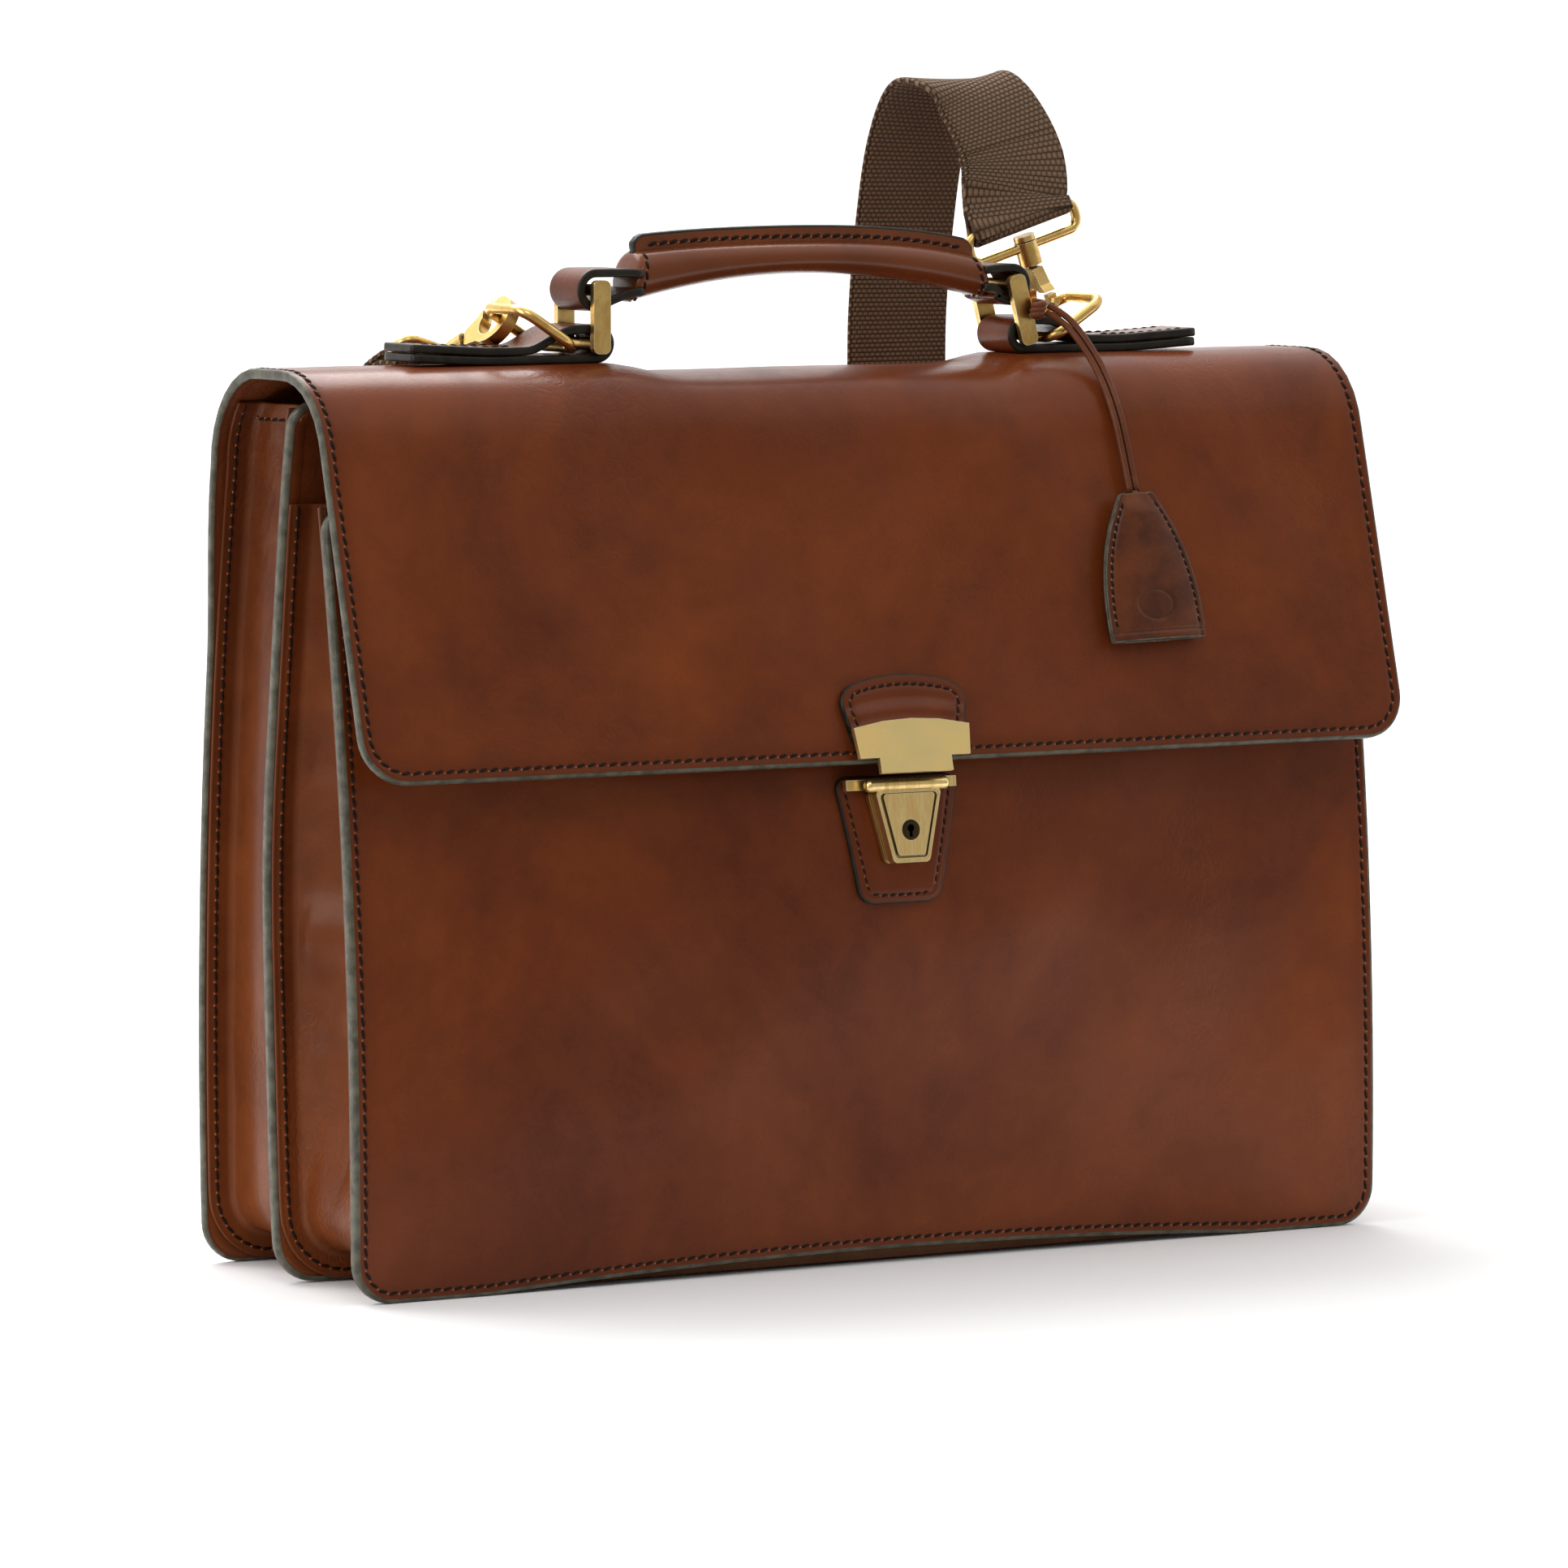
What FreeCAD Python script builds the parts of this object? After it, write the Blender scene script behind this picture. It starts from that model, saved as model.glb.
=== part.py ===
"""A flap-over leather briefcase with a carrying handle, a tuck lock and a detachable shoulder strap.

Millimetres, +Z up, front of the bag towards -Y. The origin is the middle of the divider's bottom edge, which
stands on the floor with the bottom edges of the front and back panels.
"""

import FreeCAD
import Part
import math
import os

V = FreeCAD.Vector

# ---- driving dimensions -------------------------------------------------------------------------------------
WIDTH = 400.0            # over the panels, along X
HEIGHT = 306.0           # floor to the outer face of the flap's top
BASE_HALF_DEPTH = 58.0   # origin to the outer face of the front or back panel, at the floor
PANEL_T = 5.0            # front panel and divider, leather on both sides of a stiffener
FLAP_T = 3.6             # the one long piece of leather that is back panel and flap
LINING_T = 1.4
POCKET_T = 1.6
GUSSET_T = 2.4
GUSSET_INSET = 11.0      # gusset wall, in from the panels' edges
FLANGE_INSET = 1.5       # outer edge of the gusset's sewn flange, in from the panels' edges
CORNER_R = 14.0          # bottom corners of the panels
TOP_CORNER_R = 9.0
FRONT_DROP = 44.0        # HEIGHT down to the front panel's top edge
DIVIDER_DROP = 10.0
GLUE_GAP = 0.15
SPARE = 12.0             # how far a raw layer reaches past the outline that it is cut to

FLAP_OVERHANG = 3.0      # the flap stands wider than the panels by this at each end
FLAP_DROP = 133.0        # HEIGHT down to the flap's bottom edge
FLAP_CORNER_R = 16.0
REAR_BEND_R = 34.0       # outer radius
FRONT_BEND_R = 32.0
TOP_REAR_Y = 8.0         # the flat top of the flap runs between these
TOP_FRONT_Y = -12.0
LEAF_TILT = 15.4         # degrees from upright, foot forward
LEAF_BULGE = 3.0         # extra forward stand of the flap's foot at the middle
FRONT_BULGE = 14.0       # the filled front panel swells this much at its middle
FRONT_ARCH = 5.0         # the swollen front panel's bottom edge lifts this much at the middle

RING_X = 84.0            # carrying rings, each side of the middle
HARDWARE_Y = -1.0        # middle of tabs, rings and handle
TAB_WIDTH = 22.0
TAB_T = 3.0
TAB_OUTER_X = 154.0
LOOP_GAP = 7.0           # clear height inside a tab's loop
RING_BAR_R = 2.0
RING_PIVOT_RISE = 18.0   # lower bar to upper bar
RING_PLATE_WIDTH = 6.5
RING_PLATE_T = 2.6
RING_SIDE_GAP = 0.6
RING_RIGHT_LEAN = 14.4   # degrees

STRAP_WIDTH = 40.0
STRAP_T = 2.2
WIRE_R = 1.7             # strap loops
DRING_WIRE_R = 1.8
DRING_X = 94.0
DRING_LENGTH = 24.0
DRING_LEAN = 33.0        # degrees above flat
HOOK_EYE_R = 6.0         # inside
HOOK_RIM = 3.2
HOOK_T = 4.4
GATE_LOW = -2.5          # the hook's mouth, along its shank from the middle of the eye
GATE_HIGH = 4.5
GATE_GAP = 0.9
SWIVEL_R = 2.0
POST_TOP = 23.0
WIRE_LOW = 20.8          # near and far bars of a strap loop, along the shank
WIRE_HIGH = 30.5

HANDLE_WIDTH = 20.0
HANDLE_LOOP_GAP = 2.2    # round the ring's upper bar
TONGUE_T = 3.0

PATCH_T = 2.6
PLATE_T = 1.8
LOCK_DROP = 24.0         # the flap's bottom edge down to the keyhole
ROTOR_R = 3.4
ROTOR_GAP = 0.08

LACE_R = 1.15
LACE_GAP = 0.3
BELL_LENGTH = 52.0
BELL_TOP_WIDTH = 14.0
BELL_FOOT_WIDTH = 39.0
BELL_WALL = 1.8
BELL_CAVITY = 3.0
BELL_STAND = 1.7         # clear of the flap
BELL_X = 102.4
BELL_DROP = 48.0         # HEIGHT down to the bell's top
BELL_TILT = 1.5         # degrees, foot to the right

HALF = WIDTH / 2
TAB_BASE_Z = HEIGHT
BAR_Z = TAB_BASE_Z + TAB_T + LOOP_GAP / 2
RING_HALF = TAB_WIDTH / 2 + RING_SIDE_GAP
FLAP_HALF = HALF + FLAP_OVERHANG
FLAP_BOTTOM_Z = HEIGHT - FLAP_DROP
LOCK_Z = FLAP_BOTTOM_Z - LOCK_DROP
BELL_TOP_Z = HEIGHT - BELL_DROP


# ---- small helpers ------------------------------------------------------------------------------------------
def box(x0, x1, y0, y1, z0, z1):
    return Part.makeBox(x1 - x0, y1 - y0, z1 - z0, V(x0, y0, z0))


def rod(start, end, radius):
    run = end - start
    return Part.makeCylinder(radius, run.Length, start, run)


def prism_y(points, y0, y1):
    """Closed polygon of (x, z) points, extruded from y0 to y1."""
    loop = [V(x, y0, z) for x, z in points]
    face = Part.Face(Part.makePolygon(loop + loop[:1]))
    return face.extrude(V(0, y1 - y0, 0))


def prism_x(points, x0, x1):
    loop = [V(x0, y, z) for y, z in points]
    face = Part.Face(Part.makePolygon(loop + loop[:1]))
    return face.extrude(V(x1 - x0, 0, 0))


def fuse(shapes):
    whole = shapes[0]
    for shape in shapes[1:]:
        whole = whole.fuse(shape)
    return whole.removeSplitter()


def turned(shape, angle, centre, axis):
    copy = shape.copy()
    copy.rotate(centre, axis, angle)
    return copy


def moved(shape, offset):
    copy = shape.copy()
    copy.translate(offset)
    return copy


def mirrored(shape):
    return shape.mirror(V(0, 0, 0), V(1, 0, 0))


def save(name, shape):
    shape.exportStep("parts/" + name + ".step")
    print(name, "solids", len(shape.Solids), "mm3", round(shape.Volume), "valid", shape.isValid())


# ---- the panels' bowed faces --------------------------------------------------------------------------------
class Bow:
    """A panel's outer face seen from the side: one arc, given by its ends and how far its middle stands out."""

    def __init__(self, foot_y, top_y, top_z, stand):
        chord = V(0, top_y - foot_y, top_z)
        half = chord.Length / 2
        self.radius = (half * half + stand * stand) / (2 * abs(stand))
        self.side = 1 if stand > 0 else -1
        out = V(0, chord.z, -chord.y).normalize() * self.side
        self.centre = V(0, foot_y, 0) + chord / 2 + out * (abs(stand) - self.radius)
        self.top_z = top_z

    def y(self, z, offset=0.0):
        """Y of the arc moved towards +Y by offset, at height z."""
        radius = self.radius + self.side * offset
        return self.centre.y + self.side * math.sqrt(radius * radius - (z - self.centre.z) ** 2)

    def edge(self, offset, z0, z1, x):
        points = [V(x, self.y(z, offset), z) for z in (z0, (z0 + z1) / 2, z1)]
        return Part.Arc(*points).toShape()


BACK_TOP_Z = HEIGHT - REAR_BEND_R
FRONT_TOP_Z = HEIGHT - FRONT_DROP
DIVIDER_TOP_Z = HEIGHT - DIVIDER_DROP
BACK = Bow(BASE_HALF_DEPTH, TOP_REAR_Y + REAR_BEND_R, BACK_TOP_Z, 8.0)
DIVIDER = Bow(PANEL_T / 2, -11.0, DIVIDER_TOP_Z, 13.2)
FRONT = Bow(-BASE_HALF_DEPTH, -37.0, FRONT_TOP_Z, -7.0)


def between(low, low_offset, high, high_offset, z0, z1, x0, x1):
    """The solid between two bowed faces, from z0 to z1."""
    first, last = low.edge(low_offset, z0, z1, x0), high.edge(high_offset, z0, z1, x0)
    ends = [(low.y(z, low_offset), high.y(z, high_offset), z) for z in (z0, z1)]
    caps = [Part.makeLine(V(x0, a, z), V(x0, b, z)) for a, b, z in ends]
    wire = Part.Wire([first, caps[1], last, caps[0]])
    return Part.Face(wire).extrude(V(x1 - x0, 0, 0))


def outline(inset, radius, top_z, top_radius=0.5):
    """An upright rounded plate of the panels' outline, much deeper than the bag."""
    half, reach = HALF - inset, 3 * BASE_HALF_DEPTH
    plate = box(-half, half, -reach, reach, inset, top_z)
    foot = [e for e in plate.Edges if along_y(e) and e.CenterOfMass.z < inset + 1]
    plate = plate.makeFillet(radius, foot)
    head = [e for e in plate.Edges if along_y(e) and e.CenterOfMass.z > top_z - 1]
    return plate.makeFillet(top_radius, head)


def along_y(edge):
    ends = edge.Vertexes
    return abs(abs(ends[0].Y - ends[1].Y) - edge.Length) < 1e-6 and edge.Length > BASE_HALF_DEPTH


def front_swell(x, z):
    """How far the filled front panel stands forward of its plain bow."""
    across = max(0.0, 1 - (x / (HALF - 8)) ** 2) ** 2
    return FRONT_BULGE * across * math.sin(math.pi * max(z, 0) / (FRONT_TOP_Z + 28)) ** 2


def front_y(x, z, outward=0.0):
    return FRONT.y(z, -outward) - front_swell(x, z)


LEAF_DOWN = V(0, -math.sin(math.radians(LEAF_TILT)), -math.cos(math.radians(LEAF_TILT)))
LEAF_OUT = V(0, -math.cos(math.radians(LEAF_TILT)), math.sin(math.radians(LEAF_TILT)))
FRONT_BEND_CENTRE = V(0, TOP_FRONT_Y, HEIGHT - FRONT_BEND_R)
LEAF_TOP = FRONT_BEND_CENTRE + LEAF_OUT * FRONT_BEND_R
LEAF_LENGTH = (LEAF_TOP.z - FLAP_BOTTOM_Z) / -LEAF_DOWN.z


def leaf_point(x, down, outward=0.0):
    """A point of the flap's hanging leaf: down its slope from the bend, and outward of its outer face."""
    swell = LEAF_BULGE * (1 - (x / FLAP_HALF) ** 2) * (down / LEAF_LENGTH) ** 2
    flat = LEAF_TOP + LEAF_DOWN * down + LEAF_OUT * outward
    return V(x, flat.y - swell, flat.z)


def skin(point, x0, x1, v0, v1, columns=25, rows=13):
    """An interpolated face through point(x, v)."""
    grid = [
        [point(x0 + (x1 - x0) * i / (columns - 1), v0 + (v1 - v0) * j / (rows - 1)) for j in range(rows)]
        for i in range(columns)
    ]
    surface = Part.BSplineSurface()
    surface.interpolate(grid)
    return surface


def slab(outer, inner):
    """The closed solid between two skins with matching edges."""
    faces = [outer.toShape(), inner.toShape()]
    for name, ends in (("uIso", outer.bounds()[:2]), ("vIso", outer.bounds()[2:])):
        inner_ends = inner.bounds()[:2] if name == "uIso" else inner.bounds()[2:]
        for a, b in zip(ends, inner_ends):
            edges = [getattr(s, name)(t).toShape() for s, t in ((outer, a), (inner, b))]
            faces.append(Part.makeRuledSurface(*edges))
    shell = Part.makeShell(faces)
    shell.sewShape()
    solid = Part.Solid(Part.Shell(shell.Faces))
    if solid.Volume < 0:
        solid.reverse()
    return solid


def front_layer(outward, inward, x0, x1, z0, z1):
    """A layer that follows the swollen front panel, between two distances from its outer face."""
    outer = skin(lambda x, z: V(x, front_y(x, z, outward), z), x0, x1, z0, z1)
    inner = skin(lambda x, z: V(x, front_y(x, z, inward), z), x0, x1, z0, z1)
    return slab(outer, inner)


def leaf_layer(outward, inward, x0, x1, down0, down1):
    outer = skin(lambda x, d: leaf_point(x, d, outward), x0, x1, down0, down1)
    inner = skin(lambda x, d: leaf_point(x, d, inward), x0, x1, down0, down1)
    return slab(outer, inner)


# ---- bag body -----------------------------------------------------------------------------------------------
def bowed_plate(bow, inner, outer, top_z):
    """A bowed layer with room to spare at its foot and sides, to be cut to an outline."""
    return between(bow, inner, bow, outer, -SPARE, top_z, -HALF - SPARE, HALF + SPARE)


def back_panel():
    return bowed_plate(BACK, -FLAP_T, 0, BACK_TOP_Z).common(outline(0, CORNER_R, BACK_TOP_Z + SPARE))


def back_lining():
    layer = bowed_plate(BACK, -FLAP_T - LINING_T, -FLAP_T, BACK_TOP_Z - 2)
    return layer.common(outline(FLANGE_INSET, CORNER_R, BACK_TOP_Z + SPARE))


def divider_panel():
    plate = bowed_plate(DIVIDER, -PANEL_T, 0, DIVIDER_TOP_Z + SPARE)
    return plate.common(outline(0, CORNER_R, DIVIDER_TOP_Z, TOP_CORNER_R))


def front_panel():
    plate = front_layer(0, -PANEL_T, -HALF - SPARE, HALF + SPARE, -SPARE, FRONT_TOP_Z + SPARE)
    plate = plate.common(outline(0, CORNER_R, FRONT_TOP_Z, TOP_CORNER_R))
    half_span = 0.75 * HALF
    arch_r = (half_span**2 + FRONT_ARCH**2) / (2 * FRONT_ARCH)
    arch = Part.makeCylinder(arch_r, 60, V(0, -BASE_HALF_DEPTH - 40, FRONT_ARCH - arch_r), V(0, 1, 0))
    return plate.cut(arch).cut(lock_screws(LOCK_SCREW_R + GLUE_GAP))


def slip_pocket():
    """A flat pocket on the front of the divider, open at its top."""
    top = 0.57 * DIVIDER_TOP_Z
    layer = bowed_plate(DIVIDER, -PANEL_T - POCKET_T, -PANEL_T, top + SPARE)
    return layer.common(outline(26, CORNER_R, top, 6))


def gusset(low, low_offset, high, high_offset, top_z):
    """A U-shaped side and bottom wall between two panels, with a sewn flange along each panel."""
    wall = outline(GUSSET_INSET, CORNER_R, top_z + 50).cut(outline(GUSSET_INSET + GUSSET_T, CORNER_R - 2, top_z + 90))
    wall = wall.common(between(low, low_offset, high, high_offset, 0, top_z, -HALF - SPARE, HALF + SPARE))
    rim = outline(FLANGE_INSET, CORNER_R - 1, top_z + 50)
    rim = rim.cut(outline(GUSSET_INSET + GUSSET_T, CORNER_R - 2, top_z + 90))
    low_flange = rim.common(bowed_plate(low, low_offset, low_offset + GUSSET_T, top_z))
    high_flange = rim.common(bowed_plate(high, high_offset - GUSSET_T, high_offset, top_z))
    return fuse([wall, low_flange, high_flange])


def rear_gusset():
    return gusset(DIVIDER, 0, BACK, -FLAP_T - LINING_T, BACK_TOP_Z - 6)


def front_gusset():
    return gusset(FRONT, PANEL_T + GLUE_GAP, DIVIDER, -PANEL_T, FRONT_TOP_Z - 8)


def rear_bend():
    centre = V(-FLAP_HALF, TOP_REAR_Y, HEIGHT - REAR_BEND_R)
    ring = Part.makeCylinder(REAR_BEND_R, 2 * FLAP_HALF, centre, V(1, 0, 0))
    ring = ring.cut(Part.makeCylinder(REAR_BEND_R - FLAP_T, 2 * FLAP_HALF, centre, V(1, 0, 0)))
    return ring.common(box(-FLAP_HALF, FLAP_HALF, TOP_REAR_Y, 80, HEIGHT - REAR_BEND_R, HEIGHT))


# ---- flap ---------------------------------------------------------------------------------------------------
def flap_top():
    return box(-FLAP_HALF, FLAP_HALF, TOP_FRONT_Y, TOP_REAR_Y, HEIGHT - FLAP_T, HEIGHT)


def front_bend():
    centre = FRONT_BEND_CENTRE + V(-FLAP_HALF, 0, 0)
    ring = Part.makeCylinder(FRONT_BEND_R, 2 * FLAP_HALF, centre, V(1, 0, 0))
    ring = ring.cut(Part.makeCylinder(FRONT_BEND_R - FLAP_T, 2 * FLAP_HALF, centre, V(1, 0, 0)))
    reach = FRONT_BEND_CENTRE + LEAF_OUT * 2 * FRONT_BEND_R
    keep = [(TOP_FRONT_Y, FRONT_BEND_CENTRE.z), (reach.y, reach.z), (reach.y, HEIGHT + 9), (TOP_FRONT_Y, HEIGHT + 9)]
    return ring.common(prism_x(keep, -FLAP_HALF, FLAP_HALF))


def flap_leaf():
    half, bottom = FLAP_HALF, FLAP_BOTTOM_Z
    leaf = leaf_layer(0, -FLAP_T, -half - SPARE, half + SPARE, 0, LEAF_LENGTH + SPARE)
    plate = box(-half, half, -3 * BASE_HALF_DEPTH, 3 * BASE_HALF_DEPTH, bottom, HEIGHT + SPARE)
    foot = [e for e in plate.Edges if along_y(e) and e.CenterOfMass.z < bottom + 1]
    return leaf.common(plate.makeFillet(FLAP_CORNER_R, foot)).cut(upper_studs(STUD_R + GLUE_GAP))


# ---- tabs, rings and handle ---------------------------------------------------------------------------------
def tab_left():
    """A strip of leather folded round the ring bars and sewn down on the flap's top."""
    y0, y1 = HARDWARE_Y - TAB_WIDTH / 2, HARDWARE_Y + TAB_WIDTH / 2
    outer_r, inner_r = LOOP_GAP / 2 + TAB_T, LOOP_GAP / 2
    fold_x, slope_x, flat_x = -RING_X, -DRING_X - 3, -DRING_X - 14
    seam_z = TAB_BASE_Z + 2 * TAB_T
    body = [(fold_x, TAB_BASE_Z), (fold_x, BAR_Z + outer_r), (slope_x, BAR_Z + outer_r), (flat_x, seam_z)]
    body += [(-TAB_OUTER_X, seam_z), (-TAB_OUTER_X, TAB_BASE_Z)]
    hollow = [(fold_x, BAR_Z - inner_r), (fold_x, BAR_Z + inner_r), (slope_x, BAR_Z + inner_r)]
    hollow += [(flat_x + 3, BAR_Z - inner_r)]
    fold = Part.makeCylinder(outer_r, TAB_WIDTH, V(fold_x, y0, BAR_Z), V(0, 1, 0))
    bore = Part.makeCylinder(inner_r, TAB_WIDTH, V(fold_x, y0, BAR_Z), V(0, 1, 0))
    return fuse([prism_y(body, y0, y1), fold]).cut(fuse([prism_y(hollow, y0, y1), bore]))


def ring(x, lean):
    """A flat-sided ring: two plates joined by two round bars."""
    bars = []
    for z in (BAR_Z, BAR_Z + RING_PIVOT_RISE):
        reach = RING_HALF + RING_PLATE_T / 2
        bars.append(rod(V(x, HARDWARE_Y - reach, z), V(x, HARDWARE_Y + reach, z), RING_BAR_R))
    plates = []
    for side in (-1, 1):
        y0 = HARDWARE_Y + side * (RING_HALF + RING_PLATE_T / 2) - RING_PLATE_T / 2
        half = RING_PLATE_WIDTH / 2
        end = RING_BAR_R + 1.4
        plate = box(x - half, x + half, y0, y0 + RING_PLATE_T, BAR_Z - end, BAR_Z + RING_PIVOT_RISE + end)
        corners = [e for e in plate.Edges if abs(e.Length - RING_PLATE_T) < 1e-6]
        plates.append(plate.makeFillet(2.2, corners))
    return turned(fuse(bars + plates), lean, V(x, 0, BAR_Z), V(0, 1, 0))


HANDLE_BAR = V(-RING_X, HARDWARE_Y, BAR_Z + RING_PIVOT_RISE)
LEAN = math.radians(RING_RIGHT_LEAN)
HANDLE_BAR_RIGHT = V(
    RING_X - RING_PIVOT_RISE * math.sin(LEAN), HARDWARE_Y, BAR_Z + RING_PIVOT_RISE * math.cos(LEAN)
)
GRIP_LEFT_X = HANDLE_BAR.x + 14.5
GRIP_RIGHT_X = HANDLE_BAR_RIGHT.x - 7.0
GRIP_RISE = 5.0          # bottom of the grip's ends, below the ring's upper bar
GRIP_END_H = 20.0
GRIP_MID_H = 13.5


def grip_outline(x0, z0, x1, z1, x2, z2):
    return Part.Arc(V(x0, 0, z0), V(x1, 0, z1), V(x2, 0, z2)).toShape()


def grip_heights():
    left_z, right_z = HANDLE_BAR.z - GRIP_RISE, HANDLE_BAR_RIGHT.z - GRIP_RISE
    return left_z, right_z


def handle_grip():
    """Leather sewn round a core: a bowed bar with rounded long edges."""
    left_z, right_z = grip_heights()
    mid_x, mid_z = (GRIP_LEFT_X + GRIP_RIGHT_X) / 2, (left_z + right_z) / 2 + 9.5
    under = grip_outline(GRIP_LEFT_X, left_z, mid_x, mid_z, GRIP_RIGHT_X, right_z)
    lean_in = 3.0
    over = grip_outline(
        GRIP_LEFT_X + lean_in, left_z + GRIP_END_H, mid_x, mid_z + GRIP_MID_H, GRIP_RIGHT_X - lean_in,
        right_z + GRIP_END_H - 3,
    )
    ends = [Part.makeLine(under.Vertexes[k].Point, over.Vertexes[k].Point) for k in (0, 1)]
    face = Part.Face(Part.Wire([under, ends[1], over, ends[0]]))
    bar = moved(face.extrude(V(0, HANDLE_WIDTH, 0)), V(0, HARDWARE_Y - HANDLE_WIDTH / 2, 0))
    long_edges = [e for e in bar.Edges if e.Length > 100]
    return bar.makeFillet(5.0, long_edges)


def handle_seam():
    """The sewn ridge along the top of the grip."""
    left_z, right_z = grip_heights()
    mid_x, mid_z = (GRIP_LEFT_X + GRIP_RIGHT_X) / 2, (left_z + right_z) / 2 + 9.5 + GRIP_MID_H
    lows = (GRIP_LEFT_X + 3, left_z + GRIP_END_H, mid_x, mid_z, GRIP_RIGHT_X - 3, right_z + GRIP_END_H - 3)
    high = [v + (2.4 if k % 2 else 0) for k, v in enumerate(lows)]
    under, over = grip_outline(*lows), grip_outline(*high)
    ends = [Part.makeLine(under.Vertexes[k].Point, over.Vertexes[k].Point) for k in (0, 1)]
    face = Part.Face(Part.Wire([under, ends[1], over, ends[0]]))
    return moved(face.extrude(V(0, 4.0, 0)), V(0, HARDWARE_Y - 2.0, 0))


def tongue(bar, grip_x, direction):
    """The handle's end: a strip folded round the ring's bar, its two layers running into the grip."""
    inner_r = RING_BAR_R + HANDLE_LOOP_GAP
    outer_r = inner_r + TONGUE_T
    y0, y1 = HARDWARE_Y - TAB_WIDTH / 2 + 0.4, HARDWARE_Y + TAB_WIDTH / 2 - 0.4
    disc = Part.makeCylinder(outer_r, y1 - y0, V(bar.x, y0, bar.z), V(0, 1, 0))
    bore = Part.makeCylinder(inner_r, y1 - y0, V(bar.x, y0, bar.z), V(0, 1, 0))
    neck = [(bar.x, bar.z + 1), (bar.x, bar.z + outer_r), (grip_x + direction * 1.3, bar.z + outer_r)]
    neck += [(grip_x + direction * 0.1, bar.z + 1)]
    return fuse([disc, prism_y(neck, y0, y1)]).cut(bore)


def handle_tongues():
    grip = handle_grip()
    left = tongue(HANDLE_BAR, GRIP_LEFT_X, 1).cut(grip)
    right = tongue(HANDLE_BAR_RIGHT, GRIP_RIGHT_X, -1).cut(grip)
    return left, right


# ---- strap hardware -----------------------------------------------------------------------------------------
def wire_loop(points, radius, corner):
    """A closed flat loop of round wire through corner points, its corners rounded."""
    count = len(points)
    arcs = []
    for k, p in enumerate(points):
        start = p + (points[k - 1] - p).normalize() * corner
        end = p + (points[(k + 1) % count] - p).normalize() * corner
        middle = p + ((start + end) / 2 - p) * (2 - math.sqrt(2))
        arcs.append((start, middle, end))
    chain = []
    for k, (start, middle, end) in enumerate(arcs):
        chain.append(Part.Arc(start, middle, end).toShape())
        chain.append(Part.makeLine(end, arcs[(k + 1) % count][0]))
    section = Part.Wire(Part.makeCircle(radius, arcs[0][0], points[0] - points[-1]))
    return Part.Wire(chain).makePipeShell([section], True, True)


def d_ring(side):
    """An oval ring held in the tab's loop, leaning outward over the tab."""
    half = REAR_WIRE
    x, z = side * DRING_X, DRING_PIVOT_Z
    length = side * DRING_LENGTH
    corners = [V(x, HARDWARE_Y - half, z), V(x, HARDWARE_Y + half, z)]
    corners += [V(x + length, HARDWARE_Y + half, z), V(x + length, HARDWARE_Y - half, z)]
    loop = wire_loop(corners, DRING_WIRE_R, 6.0)
    return turned(loop, -side * DRING_LEAN, V(x, 0, z), V(0, 1, 0))


DRING_PIVOT_Z = BAR_Z - LOOP_GAP / 2 + DRING_WIRE_R + 0.6


def d_ring_point(side, along, across):
    """A point of the leaning ring's plane: along from its pivot, across in Y."""
    lean = math.radians(DRING_LEAN)
    x = side * (DRING_X + along * math.cos(lean))
    return V(x, HARDWARE_Y + across, DRING_PIVOT_Z + along * math.sin(lean))


class Hook:
    """Where a snap hook lies: its eye, the way its shank runs, and the way it faces."""

    def __init__(self, eye, shank, facing):
        self.eye = eye
        self.shank = V(shank).normalize()
        self.face = (facing - self.shank * facing.dot(self.shank)).normalize()

    def place(self, shape):
        """Move a shape made with its eye at the origin, shank along +Z and eye facing +Y."""
        x, y, z, at = self.face.cross(self.shank), self.face, self.shank, self.eye
        matrix = FreeCAD.Matrix(
            x.x, y.x, z.x, at.x, x.y, y.y, z.y, at.y, x.z, y.z, z.z, at.z, 0, 0, 0, 1
        )
        copy = shape.copy()
        copy.Placement = FreeCAD.Placement(matrix).multiply(copy.Placement)
        return copy

    def point(self, along):
        return self.eye + self.shank * along


def hook_frame():
    """Hook with an open side for its gate, a shank and a swivel post with a head."""
    outer = HOOK_EYE_R + HOOK_RIM
    bore = Part.makeCylinder(HOOK_EYE_R, HOOK_T, V(0, -HOOK_T / 2, 0), V(0, 1, 0))
    eye = Part.makeCylinder(outer, HOOK_T, V(0, -HOOK_T / 2, 0), V(0, 1, 0))
    shank = prism_y([(-7, 4), (7, 4), (3.6, 13), (-3.6, 13)], -HOOK_T / 2, HOOK_T / 2)
    mouth = box(HOOK_EYE_R - 3, outer + 2, -HOOK_T, HOOK_T, GATE_LOW, GATE_HIGH)
    post = rod(V(0, 0, 12), V(0, 0, POST_TOP), SWIVEL_R)
    head = rod(V(0, 0, POST_TOP), V(0, 0, POST_TOP + 1.8), SWIVEL_R + 1.8)
    return fuse([fuse([eye, shank]).cut(bore).cut(mouth), post, head])


def hook_gate():
    """The sprung gate that closes the hook's mouth, with a knob for the thumb."""
    x0, x1 = HOOK_EYE_R - 0.2, HOOK_EYE_R + HOOK_RIM - 0.4
    half = HOOK_T / 2 - 0.6
    leaf = box(x0, x1, -half, half, GATE_LOW + GATE_GAP, GATE_HIGH - GATE_GAP)
    middle = (GATE_LOW + GATE_HIGH) / 2
    knob = rod(V(x1 - 0.5, 0, middle), V(x1 + 2.2, 0, middle), 1.4)
    return fuse([leaf, knob])


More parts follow.
